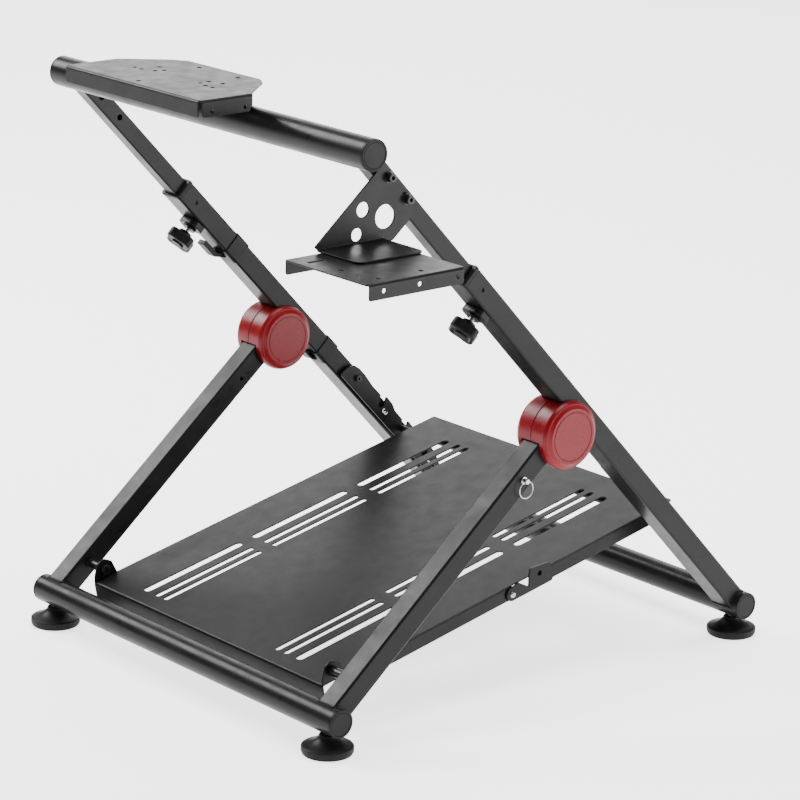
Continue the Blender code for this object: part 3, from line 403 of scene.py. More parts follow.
def carved(mesh, tools):
    """Cut tools out of a mesh: each tool is (mesh, matrix in the mesh's own frame)."""
    base = linked("base", mesh)
    helpers = []
    for tool, matrix in tools:
        helper = linked("tool", tool)
        helper.matrix_world = matrix
        helpers.append(helper)
        modifier = base.modifiers.new("Carve", "BOOLEAN")
        modifier.solver = "EXACT"
        modifier.object = helper
    bpy.context.view_layer.update()
    graph = bpy.context.evaluated_depsgraph_get()
    result = bpy.data.meshes.new_from_object(base.evaluated_get(graph))
    for obj in (base, *helpers):
        bpy.data.objects.remove(obj)
    return result


def raised(mesh, height):
    """Shift a mesh along Z in its own frame."""
    mesh.transform(Matrix.Translation((0, 0, height)))
    return mesh


def add(name, mesh, material, body, place, nodes=(), sharp=38):
    """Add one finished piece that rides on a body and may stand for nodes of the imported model."""
    mesh.name = name
    mesh.materials.clear()
    mesh.materials.append(material)
    mesh.shade_smooth()
    mesh.set_sharp_from_angle(angle=math.radians(sharp))
    obj = linked(name, mesh)
    obj.matrix_world = ORIGIN @ place
    even = obj.modifiers.new("Even normals", "WEIGHTED_NORMAL")
    even.keep_sharp = True
    even.weight = 90
    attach(obj, body)
    if nodes:
        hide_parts(*nodes)
    return obj


# ---- materials
def start_material(name, slot):
    """A node material, its tree, its shader and the object's own coordinates."""
    material = bpy.data.materials.new(name)
    material.use_nodes = True
    if slot:
        material["slot"] = slot
    tree = material.node_tree
    shader = tree.nodes["Principled BSDF"]
    where = tree.nodes.new("ShaderNodeTexCoord").outputs["Object"]
    return material, tree, shader, where


def noise(tree, where, scale, detail=3.0, roughness=0.55):
    """Noise whose scale is in features per metre."""
    texture = tree.nodes.new("ShaderNodeTexNoise")
    texture.inputs["Scale"].default_value = scale
    texture.inputs["Detail"].default_value = detail
    texture.inputs["Roughness"].default_value = roughness
    tree.links.new(where, texture.inputs["Vector"])
    return texture.outputs["Fac"]


def stretched(tree, where, x, y, z):
    """Coordinates stretched along an axis, for drawn or brushed marks."""
    mapping = tree.nodes.new("ShaderNodeMapping")
    mapping.inputs["Scale"].default_value = (x, y, z)
    tree.links.new(where, mapping.inputs["Vector"])
    return mapping.outputs["Vector"]


def ranged(tree, value, low, high, start=0.32, end=0.68):
    """Map a value from one range to another."""
    node = tree.nodes.new("ShaderNodeMapRange")
    node.inputs["From Min"].default_value = start
    node.inputs["From Max"].default_value = end
    node.inputs["To Min"].default_value = low
    node.inputs["To Max"].default_value = high
    tree.links.new(value, node.inputs["Value"])
    return node.outputs["Result"]


def added(tree, first, second):
    """Add two values."""
    node = tree.nodes.new("ShaderNodeMath")
    tree.links.new(first, node.inputs[0])
    tree.links.new(second, node.inputs[1])
    return node.outputs[0]


def mixed(tree, share, first, second):
    """Blend two colours; each is a colour or another blend's socket."""
    node = tree.nodes.new("ShaderNodeMix")
    node.data_type = "RGBA"
    tree.links.new(share, node.inputs["Factor"])
    for socket, colour in ((node.inputs[6], first), (node.inputs[7], second)):
        if isinstance(colour, tuple):
            socket.default_value = (*colour, 1)
        else:
            tree.links.new(colour, socket)
    return node.outputs[2]


def bumped(tree, shader, layers):
    """Stack bumps: each layer is (height, strength, distance in metres)."""
    normal = None
    for height, strength, distance in layers:
        bump = tree.nodes.new("ShaderNodeBump")
        bump.inputs["Strength"].default_value = strength
        bump.inputs["Distance"].default_value = distance
        tree.links.new(height, bump.inputs["Height"])
        if normal:
            tree.links.new(normal, bump.inputs["Normal"])
        normal = bump.outputs["Normal"]
    tree.links.new(normal, shader.inputs["Normal"])


def coating(name, slot, dark, light, rub, gloss, grain, grain_depth, shine=0.5, metallic=0.0):
    """A painted or moulded surface: cloudy colour, uneven gloss, faint rub marks, dust and a fine grain."""
    material, tree, shader, where = start_material(name, slot)
    cloud = noise(tree, where, 11, 4)
    speckle = noise(tree, where, grain * 0.6, 2)
    rubs = noise(tree, stretched(tree, where, 90, 14, 60), 1.0, 5, 0.7)
    tone = mixed(tree, ranged(tree, cloud, 0, 1), dark, light)
    tone = mixed(tree, ranged(tree, speckle, 0, 0.35, 0.45, 0.75), tone, light)
    tone = mixed(tree, ranged(tree, rubs, 0, 0.5, 0.66, 0.80), tone, rub)
    tree.links.new(tone, shader.inputs["Base Color"])
    patches = ranged(tree, noise(tree, where, 38, 3), gloss[0], gloss[1])
    marks = ranged(tree, rubs, 0, 0.07, 0.55, 0.80)
    tree.links.new(added(tree, patches, marks), shader.inputs["Roughness"])
    shader.inputs["Metallic"].default_value = metallic
    shader.inputs["Specular IOR Level"].default_value = shine
    peel = noise(tree, where, grain * 0.25, 1)
    bumped(tree, shader, [(peel, 0.25, grain_depth * 1.5), (noise(tree, where, grain, 2), 0.5, grain_depth)])
    return material


def plated(name, slot, dark, light, gloss, brush):
    """Bright plated metal with fine drawn lines, tarnish clouds and uneven gloss."""
    material, tree, shader, where = start_material(name, slot)
    lines = noise(tree, stretched(tree, where, *brush), 1.0, 3)
    cloud = noise(tree, where, 120, 4)
    tone = mixed(tree, ranged(tree, cloud, 0, 1), dark, light)
    tree.links.new(tone, shader.inputs["Base Color"])
    patches = ranged(tree, cloud, gloss[0], gloss[1])
    tree.links.new(added(tree, patches, ranged(tree, lines, 0, 0.08)), shader.inputs["Roughness"])
    shader.inputs["Metallic"].default_value = 1.0
    bumped(tree, shader, [(lines, 0.2, 0.00002), (noise(tree, where, 1500, 2), 0.15, 0.00002)])
    return material


STEEL = coating("painted_steel", "painted_steel", (0.0045, 0.0045, 0.0050), (0.0085, 0.0085, 0.0090),
                (0.020, 0.020, 0.021), (0.27, 0.38), 1500, 0.00003, 0.11)
SATIN = coating("painted_sheet", "painted_sheet", (0.0055, 0.0055, 0.0060), (0.0110, 0.0110, 0.0115),
                (0.022, 0.022, 0.023), (0.33, 0.43), 2200, 0.00005, 0.12)
PLASTIC = coating("black_plastic", "black_plastic", (0.0045, 0.0045, 0.0050), (0.0080, 0.0080, 0.0085),
                  (0.016, 0.016, 0.017), (0.36, 0.50), 1800, 0.00003, 0.11)
RED = coating("red_plastic", "red_plastic", (0.125, 0.0008, 0.0034), (0.155, 0.0014, 0.0050),
              (0.175, 0.006, 0.009), (0.26, 0.36), 1800, 0.00002, 0.2)
RUBBER = coating("foot_rubber", "black_plastic", (0.006, 0.006, 0.006), (0.011, 0.011, 0.011),
                 (0.020, 0.020, 0.020), (0.65, 0.80), 1200, 0.00004, 0.25)
BOLT = coating("black_oxide", "black_bolt", (0.010, 0.010, 0.011), (0.022, 0.022, 0.024),
               (0.060, 0.059, 0.057), (0.28, 0.40), 2400, 0.00002, 0.4, 0.6)
WHITE = coating("white_marking", None, (0.62, 0.62, 0.61), (0.74, 0.74, 0.73),
                (0.50, 0.50, 0.49), (0.40, 0.52), 2600, 0.00001)
ZINC = plated("bright_zinc", "bright_zinc", (0.36, 0.36, 0.355), (0.52, 0.52, 0.515),
              (0.20, 0.34), (300, 2600, 2600))


# ---- fasteners
def socket_head(name, radius, height, across, body, place, nodes=()):
    """Cylindrical screw head on Z = 0 with a hexagon socket in its top."""
    rim = 0.12 * radius
    profile = eased([(0, height), (radius, height, rim * 1.6), (radius, rim, rim), (radius - rim, 0), (0, 0)])
    depth = 0.6 * height
    socket = plate(hexagon(across), depth * 2, edge=0.0001)
    head = carved(turned(profile, 48), [(socket, Matrix.Translation((0, 0, height)))])
    add(name, head, BOLT, body, place, nodes)


def holed(outline, height, bore, edge):
    """Washer or nut on Z = 0."""
    return raised(plate(outline, height, [circle(0, 0, bore)], edge), height / 2)


def thread(radius, start, end, pitch=0.00125):
    """Profile points of a thread from one height down to another."""
    count = max(1, round((start - end) / pitch))
    points = [(radius, start)]
    for turn in range(count):
        height = start - (turn + 0.5) * (start - end) / count
        points += [(radius, height + pitch * 0.3), (radius - 0.0006, height), (radius, height - pitch * 0.3)]
    return [*points, (radius, end)]


# ---- tubes, caps and feet
def cross_tube(name, body, y, z, radius, length):
    """Round tube along X."""
    half = length / 2 - CAP_FACE - GAP
    edge = 0.0004
    inner = radius - WALL
    wall = [(radius - edge, half), (radius, half - edge), (radius, edge - half), (radius - edge, -half),
            (inner, -half), (inner, half)]
    tube = turned(wall, 128, closed=True)
    add(name + "_pipe", tube, STEEL, body, at(ROOT, (0, y, z), ALONG_X), [name])


def square_tube(width, depth, length, corner=TUBE_CORNER, bore_corner=TUBE_CORNER - WALL):
    """Rectangular tube that stands on Z = 0."""
    bore = rounded_box(width - 2 * WALL, depth - 2 * WALL, bore_corner)
    return raised(plate(rounded_box(width, depth, corner), length, [bore]), length / 2)


def end_cap(name, body, side, y, z, radius, length):
    """Push-in cap: domed rim, shallow groove and a level disc."""
    face = CAP_FACE
    groove = radius - 0.0036
    plug = radius - WALL - GAP
    rim = eased([(groove + 0.0006, face), (radius, face, 0.0011), (radius, 0)])
    profile = [(0, face - 0.0002), (groove - 0.0007, face - 0.0002), (groove - 0.0002, face - 0.0006),
               (groove + 0.0002, face - 0.0006), *rim, (plug, 0), (plug, -PLUG_LENGTH), (0, -PLUG_LENGTH)]
    place = at(ROOT, (side * (length / 2 - face), y, z), outwards(side))
    add(name + "_disc", turned(profile, 128), PLASTIC, body, place, [name])


def foot_reach(turn, radius, height):
    """Fine grip ribs round the rim of a levelling foot."""
    if radius < FOOT_RADIUS - 0.0004:
        return radius
    return radius - 0.00045 * (1 - math.cos(76 * turn)) / 2


def levelling_foot(name, y):
    """Ribbed foot with a hollow-coned top, a neck, a threaded stud and a rubber sole."""
    neck_top = BASE_Z - BASE_RADIUS - 0.0012
    stud_top = BASE_Z - 0.004
    stud_end = neck_top - 0.001
    rim = FOOT_RADIUS
    cone = [(0.0333, 0.0104), (0.0318, 0.0112), (0.0290, 0.0120), (0.0250, 0.0133), (0.0212, 0.0149),
            (0.0178, 0.0168), (0.0150, 0.0190), (0.0130, 0.0212), (0.0119, 0.0228), (0.0114, 0.0240)]
    top = eased([(0.0114, 0.0240), (0.0108, neck_top, 0.0008), (0.005, neck_top)])
    profile = [(0, neck_top), *reversed(top), *reversed(cone), (rim, 0.0098), (rim, 0.0085), (rim, 0.0050),
               (rim, 0.0034), (0.0333, 0.0026), (0.0325, 0.0022), (0, 0.0022)]
    for side_name, side in SIDES:
        node = f"{name}_{side_name}"
        place = at(ROOT, (side * FOOT_X, y, 0))
        add(f"{node}_cone", turned(profile, 304, foot_reach), PLASTIC, node, place, [node], 50)
        sole = [(0, 0.0021), (0.0318, 0.0021), (0.0326, 0.0014), (0.0326, 0.0006), (0.0320, 0), (0, 0)]
        add(f"{node}_sole", turned(sole), RUBBER, node, place)
        stud = [(0, stud_top), *thread(0.0049, stud_top, stud_end), (0, stud_end)]
        add(f"{node}_stud", turned(stud, 32), ZINC, node, place)


def weld_ring(name, body, place, section, tube_radius, start=0.0, sign=1, off=0.0):
    """Weld bead round the joint of a square tube and a round one."""
    path = []
    for u, v in resampled(rounded_box(*section, TUBE_CORNER), 0.0011):
        path.append(Vector((u, v, start + sign * math.sqrt(tube_radius ** 2 - (v - off) ** 2))))
    add(name, swept(path, 0.0017, ripple=0.16), STEEL, body, place, sharp=80)


# ---- long legs
def main_leg(side_name, side):
    """Rectangular tube, coped over the rear tube, with its holes and weld."""
    node = f"main_leg_{side_name}"
    section = (MAIN_WIDTH, MAIN_DEPTH)
    tube = square_tube(*section, MAIN_MOUTH)
    place = at(MAIN, (side * MAIN_X, 0, 0))
    tube = carved(tube, [drill(BASE_RADIUS + GAP, steps=96), drill(0.0028, z=0.725)])
    add(node + "_tube", tube, STEEL, "main_frame", place, [node])
    weld_ring(f"rear_weld_{side_name}", "main_frame", place, section, BASE_RADIUS)


def leg_collar(side_name, side):
    """Plastic collar on the leg's mouth, with a soft lip round the inner tube."""
    node = f"leg_collar_{side_name}"
    lip = 0.006
    bottom = MAIN_MOUTH + GAP
    hole = rounded_box(INNER_SIDE + 2 * GAP, INNER_SIDE + 2 * GAP, 0.002)
    outline = rounded_box(MAIN_WIDTH + 0.0016, MAIN_DEPTH + 0.0016, 0.0038)
    place = at(MAIN, (side * MAIN_X, 0, 0))
    add(node + "_lip", raised(plate(outline, lip, [hole], 0.0012), bottom + lip / 2), PLASTIC,
        "main_frame", place, [node])
    inset = 2 * WALL + 2 * GAP
    sleeve = rounded_box(MAIN_WIDTH - inset, MAIN_DEPTH - inset, 0.0015)
    length = 0.036
    add(node + "_sleeve", raised(plate(sleeve, length, [hole]), bottom - length / 2), PLASTIC,
        "main_frame", place)


def clamp_block(side_name, side):
    """Threaded block with a raised boss for the star knob's stud."""
    node = f"clamp_block_{side_name}"
    thickness = 0.009
    bolt = circle(0, 0, BOLT_BORE)
    y = -MAIN_DEPTH / 2 - GAP - thickness / 2
    outline = rounded_box(0.036, 0.026, 0.009, steps=8)
    place = at(MAIN, (side * MAIN_X, y, KNOB_ALONG), STAND_FACING)
    add(node + "_pad", plate(outline, thickness, [bolt], 0.0012), STEEL, "main_frame", place, [node])
    boss = raised(plate(circle(0, 0, 0.0098, 48), 0.003, [bolt], 0.0006), thickness / 2 + 0.0015)
    add(node + "_boss", boss, STEEL, "main_frame", place)


def lobed(turn, radius, height):
    """Four grips of the star knob, fading out towards its middle."""
    share = min(1, max(0, (radius - 0.0105) / 0.010))
    return radius * (1 - 0.24 * share * (1 - math.cos(4 * turn)) / 2)


def lock_knob(side_name, side):
    """Star knob with a capped middle on a threaded stud."""
    node = f"lock_knob_{side_name}"
    ride = f"knob_{side_name}"
    place = at(MAIN, (side * MAIN_X, 0, KNOB_ALONG), STAND_FACING)
    face = 0.0532
    base = 0.0338
    star = eased([(0.0098, face), (0.0130, face, 0.002), (0.0165, 0.0542, 0.003), (0.0225, 0.0540, 0.0026),
                  (0.0225, 0.0398, 0.0020), (0.0125, 0.0392, 0.0015), (0.0100, 0.0375, 0.0015),
                  (0.0092, base)])
    profile = [(0, face), *star, (0, base)]
    add(node + "_star", turned(profile, 160, lobed), PLASTIC, ride, place, [node], 60)
    cap = eased([(0, 0.0560), (0.0088, 0.0560, 0.0010), (0.0092, 0.0528)])
    add(node + "_cap", turned([*cap, (0, 0.0528)], 64), PLASTIC, ride, place)
    stud_top = 0.0345
    stud_end = 0.0130
    stud = [(0, stud_top), *thread(0.0039, stud_top, stud_end), (0, stud_end)]
    add(node + "_stud", turned(stud, 32), ZINC, ride, place)


# ---- red hubs
def short_leg_fan():
    """Fan-shaped space that the short leg swings through."""
    leg_off = -local(SHORT, HUB_Y, HUB_Z)[0]
    rim = HUB_RADIUS - HUB_SHELL
    rest = 180 + SHORT_ANGLE
    start = rest - math.degrees(math.asin((SHORT_DEPTH / 2 - leg_off) / rim)) - 1.5
    end = rest + math.degrees(math.asin((SHORT_DEPTH / 2 + leg_off) / rim)) + FOLD_SWEEP + 1.5
    outline = arc(0, 0, 0.070, start, end, 24) + arc(0, 0, 0.036, end, start, 24)
    return plate(outline, SHORT_WIDTH + 0.0018, edge=0.0002)


def hub_half(side_name, side, name, outward):
    """Half of the red drum: face disc, ring groove, coned band and slots for the legs."""
    node = f"hub_cover_{name}_{side_name}"
    depth = (HUB_OUTER_X - HUB_INNER_X) / 2 - GAP / 2
    face = eased([(0.0334, depth), (0.0372, depth, 0.0012), (0.0385, depth - 0.0011, 0.001),
                  (0.0442, depth - 0.0042, 0.0020), (HUB_RADIUS, depth - 0.0085, 0.0020),
                  (HUB_RADIUS, 0.0009)])
    floor = depth - HUB_SHELL
    wall = HUB_RADIUS - HUB_SHELL
    profile = [(0, depth), (0.0318, depth), (0.0322, depth - 0.0007), (0.0330, depth - 0.0007), *face,
               (HUB_RADIUS - 0.0006, 0), (wall, 0), (wall, floor), (0, floor)]
    middle_x = (HUB_INNER_X + HUB_OUTER_X) / 2
    place = at(ROOT, (side * (middle_x + outward * GAP / 2), HUB_Y, HUB_Z), outwards(outward * side))
    inverse = place.inverted()
    _, along = local(MAIN, HUB_Y, HUB_Z)
    deep = 0.1
    leg_y = -MAIN_DEPTH / 2 - GAP + deep / 2
    slot = block((MAIN_WIDTH + 2 * GAP, deep, 0.2))
    tools = [(slot, inverse @ at(MAIN, (side * MAIN_X, leg_y, along))),
             (short_leg_fan(), inverse @ at(ROOT, (side * SHORT_X, HUB_Y, HUB_Z), STAND_SIDEWAYS))]
    mesh = carved(turned(profile, 160), tools)
    add(node + "_shell", mesh, RED, "main_frame", place, [node], 30)


# ---- notch brackets
def notch_outline():
    """Bracket with three slanted hooks, as (off, along)."""
    slant = Vector((0.884, 0.468))
    aside = Vector((-0.468, 0.884))
    slot = ROD_RADIUS + GAP
    mouth = slot + 0.0007
    points = [(-0.012, 0.334, 0.003), (-0.008, 0.338, 0.003), (0.006, 0.334, 0.004), (0.014, 0.327, 0.005),
              (0.0165, 0.316, 0.006), (0.0166, 0.300, 0.01), (0.014, 0.278, 0.01)]
    turn = math.degrees(math.atan2(slant.y, slant.x))
    for step in (1, 0, -1):
        along = ROD_ALONG + step * NOTCH_PITCH
        root = Vector((ROD_OFF, along))
        far = root + aside * mouth + slant * 0.0137
        near = root - aside * mouth + slant * 0.0122
        points.append((*far, 0.002))
        points += arc(ROD_OFF, along, slot, turn + 90, turn + 270, 16)
        points.append((*near, 0.0015))
        points += [(0.0192, along - 0.0015, 0.002), (0.0188, along - 0.016, 0.004),
                   (0.0145, along - 0.029, 0.004)]
    points += [(0.0115, 0.080, 0.005), (0.004, 0.072, 0.004), (-0.006, 0.072, 0.004), (-0.012, 0.078, 0.003)]
    return filleted(points)


def digit(name, text, place):
    """A raised number of thin paint."""
    size = 0.0155
    curve = bpy.data.curves.new(name, "FONT")
    curve.body = text
    curve.size = size
    curve.align_x = "CENTER"
    curve.align_y = "CENTER"
    curve.extrude = 0.00008
    curve.offset = size * 0.012
    add(name, mesh_from(curve), WHITE, "main_frame", place)


def notch_bracket(side_name, side):
    """Numbered hook plate on two spacers with socket screws."""
    node = f"notch_bracket_{side_name}"
    add(node + "_plate", plate(notch_outline(), BRACKET_THICKNESS, edge=0.0005), STEEL, "main_frame",
        at(MAIN, (side * BRACKET_X, 0, 0), STAND_SIDEWAYS), [node])
    leg_face = MAIN_X - MAIN_WIDTH / 2
    plate_face = BRACKET_X + BRACKET_THICKNESS / 2
    inner_face = side * (BRACKET_X - BRACKET_THICKNESS / 2)
    inwards = outwards(-side)
    length = leg_face - plate_face
    spacer = eased([(0, length), (0.006, length, 0.0004), (0.006, 0, 0.0004), (0, 0)])
    for number, (along, off) in enumerate(((0.309, 0.004), (0.092, 0.0)), start=1):
        add(f"{node}_spacer_{number}", turned(spacer, 48), STEEL, "main_frame",
            at(MAIN, (side * leg_face, off, along), inwards))
        socket_head(f"{node}_screw_{number}", 0.0048, 0.0042, 0.0040, "main_frame",
                    at(MAIN, (inner_face, off, along), inwards))
    for number, step in enumerate((-1, 0, 1), start=1):
        below_hook = ROD_ALONG + step * NOTCH_PITCH - 0.013
        place = at(MAIN, (inner_face, 0.0010, below_hook)) @ DIGIT_TURN[side_name]
        digit(f"digit_{number}_{side_name}", str(number), place)


# a digit's face points to the middle of the stand and its top points down the leg
DIGIT_TURN = {
    "left": Matrix(((0, 0, 1, 0), (-1, 0, 0, 0), (0, -1, 0, 0), (0, 0, 0, 1))),
    "right": Matrix(((0, 0, -1, 0), (1, 0, 0, 0), (0, -1, 0, 0), (0, 0, 0, 1))),
}


def cable_clip(node, bottom, top, hook_bottom, hook_top, reach):
    """Band round three faces of the left long leg with a cable hook on its front."""
    wall = 0.0016
    half_width = MAIN_WIDTH / 2 + GAP
    half_depth = MAIN_DEPTH / 2 + GAP
    open_side = -half_width + 0.010
    out_x = half_width + wall
    out_y = half_depth + wall
    fit = TUBE_CORNER
    outline = filleted([(open_side, half_depth), (half_width, half_depth, fit),
                        (half_width, -half_depth, fit), (open_side, -half_depth), (open_side, -out_y, 0.0008),
                        (out_x, -out_y, fit + wall), (out_x, out_y, fit + wall), (open_side, out_y, 0.0008)])
    place = at(MAIN, (-MAIN_X, 0, 0))
    band = raised(plate(outline, top - bottom, edge=0.0005), (top + bottom) / 2)
    add(node + "_band", band, PLASTIC, "main_frame", place, [node])
    face = -half_depth - wall
    gap = 0.4 * reach
    root_top = hook_bottom + 0.4 * (hook_top - hook_bottom)
    root = face + wall / 2
    hook = filleted([(root, hook_bottom), (root, root_top - gap), (face - gap, root_top, gap),
                     (face - gap, hook_top, 0.0008), (face - reach, hook_top, 0.0015),
                     (face - reach, root_top, 0.004)])
    add(node + "_hook", plate(hook, 0.016, edge=0.0008), PLASTIC, "main_frame",
        at(MAIN, (-MAIN_X, 0, 0), STAND_SIDEWAYS))


def main_frame():
    """Everything that stays with the long legs."""
    cross_tube("rear_cross_tube", "main_frame", REAR_Y, BASE_Z, BASE_RADIUS, BASE_LENGTH)
    for side_name, side in SIDES:
        end_cap(f"rear_tube_cap_{side_name}", "main_frame", side, REAR_Y, BASE_Z, BASE_RADIUS, BASE_LENGTH)
        main_leg(side_name, side)
        leg_collar(side_name, side)
        clamp_block(side_name, side)
        lock_knob(side_name, side)
        hub_half(side_name, side, "inner", -1)
        hub_half(side_name, side, "outer", 1)
        notch_bracket(side_name, side)
        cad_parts[f"hub_fork_{side_name}"].material_slots[0].material = STEEL
        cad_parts[f"hub_pivot_bolt_{side_name}"].material_slots[0].material = ZINC
    levelling_foot("rear_foot", REAR_Y)
    cable_clip("cable_clip_upper", 0.608, 0.635, 0.617, 0.663, 0.012)
    cable_clip("cable_clip_lower", 0.369, 0.394, 0.374, 0.402, 0.006)


# ---- short legs
def short_leg(side_name, side):
    """Square tube from the front cross tube into the hub."""
    node = f"short_leg_{side_name}"
    hub_off, hub_along = local(SHORT, HUB_Y, HUB_Z)
    section = (SHORT_WIDTH, SHORT_DEPTH)
    tube = square_tube(*section, hub_along + 0.013)
    place = at(SHORT, (side * SHORT_X, 0, 0))
    bolt_off, bolt_along = local(SHORT, HINGE_Y, HINGE_Z)
    inner_wall = -side * SHORT_WIDTH / 2
    tools = [drill(BASE_RADIUS + GAP, steps=96), drill(0.0053, 0, hub_off, hub_along),
             drill(0.0031, 0, PIN_OFF, PIN_ALONG), drill(BOLT_BORE, inner_wall, bolt_off, bolt_along, 0.008)]
    add(node + "_tube", carved(tube, tools), STEEL, "front_frame", place, [node])
    weld_ring(f"front_weld_{side_name}", "front_frame", place, section, BASE_RADIUS)


def pedal_pivot(side_name, side):
    """Pivot screw through the pedal plate's ear, with a black spacer between ear and leg."""
    node = f"pedal_pivot_bolt_{side_name}"
    ear_face = PEDAL_WIDTH / 2 - GAP
    leg_face = SHORT_X - SHORT_WIDTH / 2
    width = leg_face - ear_face - 4 * GAP
    bore = 0.0040
    collar = 0.0075
    waist = 0.0068
    spacer = eased([(bore, width), (collar, width, 0.0005), (collar, width - 0.002, 0.0003),
                    (waist, width - 0.0024, 0.0003), (waist, 0.0024, 0.0003), (collar, 0.002, 0.0003),
                    (collar, 0, 0.0005), (bore, 0)])
    add(f"{node}_spacer", turned(spacer, 64, closed=True), BOLT, "front_frame",
        at(ROOT, (side * (ear_face + 3 * GAP), HINGE_Y, HINGE_Z), outwards(side)), [node])
    shank = [(0, 0.0400), (0.0039, 0.0400), (0.0039, 0), (0, 0)]
    head_x = ear_face - SHEET - 2 * GAP
    add(f"{node}_shank", turned(shank, 32), ZINC, "front_frame",
        at(ROOT, (side * head_x, HINGE_Y, HINGE_Z), outwards(side)))
    socket_head(f"{node}_head", 0.0068, 0.0040, 0.0048, "front_frame",
                at(ROOT, (side * head_x, HINGE_Y, HINGE_Z), outwards(-side)))


def pull_pin(side_name, side):
    """Spring pin with a grooved head, and the split ring through its eye."""
    node = f"pull_pin_{side_name}"
    outer = SHORT_WIDTH / 2 + GAP
    top = outer + 0.008
    tip = 0.008 - outer
    profile = eased([(0, top), (0.0032, top, 0.0008), (0.0036, outer + 0.0065, 0.0004),
                     (0.0036, outer + 0.0012, 0.0002), (0.0050, outer + 0.0010, 0.0002), (0.0050, outer),
                     (0.0028, outer), (0.0028, tip + 0.0018, 0.0008), (0.0018, tip), (0, tip)])
    place = at(SHORT, (side * SHORT_X, PIN_OFF, PIN_ALONG), outwards(side))
    eye_at = outer + 0.005
    eye = Matrix.Translation((0, 0, eye_at)) @ Matrix.Rotation(math.radians(90), 4, "X")
    pin = carved(turned(profile, 48), [(rod(0.0017, 0.02, 24), eye)])
    add(node + "_stem", pin, ZINC, f"pin_{side_name}", place, [node])
    ring = f"pull_ring_{side_name}"
    wire = 0.0007
    radius = 0.0115
    path = [Vector((0, y, z)) for y, z in circle(0, 0.0002 - radius, radius, 96)]
    centre = SHORT @ Vector((side * (SHORT_X + eye_at), PIN_OFF, PIN_ALONG))
    add(ring + "_wire", swept(path, wire, 12), ZINC, f"ring_{side_name}",
        Matrix.Translation(centre), [ring], 80)


def front_frame():
    """Front cross tube, short legs and what is fixed to them."""
    cross_tube("front_cross_tube", "front_frame", 0, BASE_Z, BASE_RADIUS, BASE_LENGTH)
    for side_name, side in SIDES:
        end_cap(f"front_tube_cap_{side_name}", "front_frame", side, 0, BASE_Z, BASE_RADIUS, BASE_LENGTH)
        short_leg(side_name, side)
        pedal_pivot(side_name, side)
        pull_pin(side_name, side)
    levelling_foot("front_foot", 0)


# ---- pedal frame
def pedal_plate():
    """Slotted foot plate whose front edge is bent down."""
    half = PEDAL_WIDTH / 2
    flange = 0.022 - FOLD
    front = FOLD - BEND_LENGTH - flange
    outline = filleted([(-half + 0.0005, front, 0.002), (half - 0.0005, front, 0.002),
                        (half, PEDAL_LENGTH, 0.003), (-half, PEDAL_LENGTH, 0.003)])
    slots = []
    for _, side in SIDES:
        for x, width in ((0.166, 0.012), (0.140, 0.008), (0.122, 0.008)):
            for start, end in ((0.027, 0.196), (0.218, 0.388), (0.412, 0.584)):
                slots.append(slot_outline(side * x, start, end, width))
    sheet = plate(outline, SHEET, slots, 0.0005)
    sheet = bent(sheet, (0, FOLD), (0, -1), 90)
    add("pedal_plate_sheet", sheet, SATIN, "pedal_frame", at(PEDAL, (0, 0, -SHEET / 2)), ["pedal_plate"])


def pedal_ear(side_name, side):
    """Ear welded to a front corner of the pedal plate."""
    half = PEDAL_WIDTH / 2
    s, v = local(PEDAL, HINGE_Y, HINGE_Z)
    outline = filleted([(0.0005, -0.0006), (0.003, 0.010, 0.004), *arc(s, v, 0.0145, 150, 75, 12),
                        (0.0335, 0.0195, 0.004), (0.0395, -0.0006)])
    x = side * (half - SHEET / 2 - 2 * GAP)
    ear = plate(outline, SHEET, [circle(s, v, BOLT_BORE)], 0.0004)
    add(f"pedal_ear_{side_name}", ear, STEEL, "pedal_frame", at(PEDAL, (x, 0, 0), STAND_SIDEWAYS),
        ["pedal_plate"])
    inner_x = x - side * SHEET / 2
    path = resampled([(inner_x, 0.004, 0.0002), (inner_x, 0.037, 0.0002)], 0.0009, closed=False)
    path = [point + Vector((0, 0, 0.00001 * (index % 2))) for index, point in enumerate(path)]
    add(f"pedal_ear_weld_{side_name}", swept(path, 0.0014, ripple=0.15, closed=False),
        STEEL, "pedal_frame", at(PEDAL), sharp=80)


def side_rail(node, side, start, end, holes=()):
    """Flat rail on edge under the side of the pedal plate."""
    middle = -SHEET - GAP - RAIL_DEPTH / 2
    outline = rounded_box(end - start, RAIL_DEPTH, 0.003, (start + end) / 2, middle)
    x = side * (PEDAL_WIDTH / 2 - RAIL_THICKNESS / 2)
    add(node + "_bar", plate(outline, RAIL_THICKNESS, holes, 0.0004), STEEL, "pedal_frame",
        at(PEDAL, (x, 0, 0), STAND_SIDEWAYS), [node])


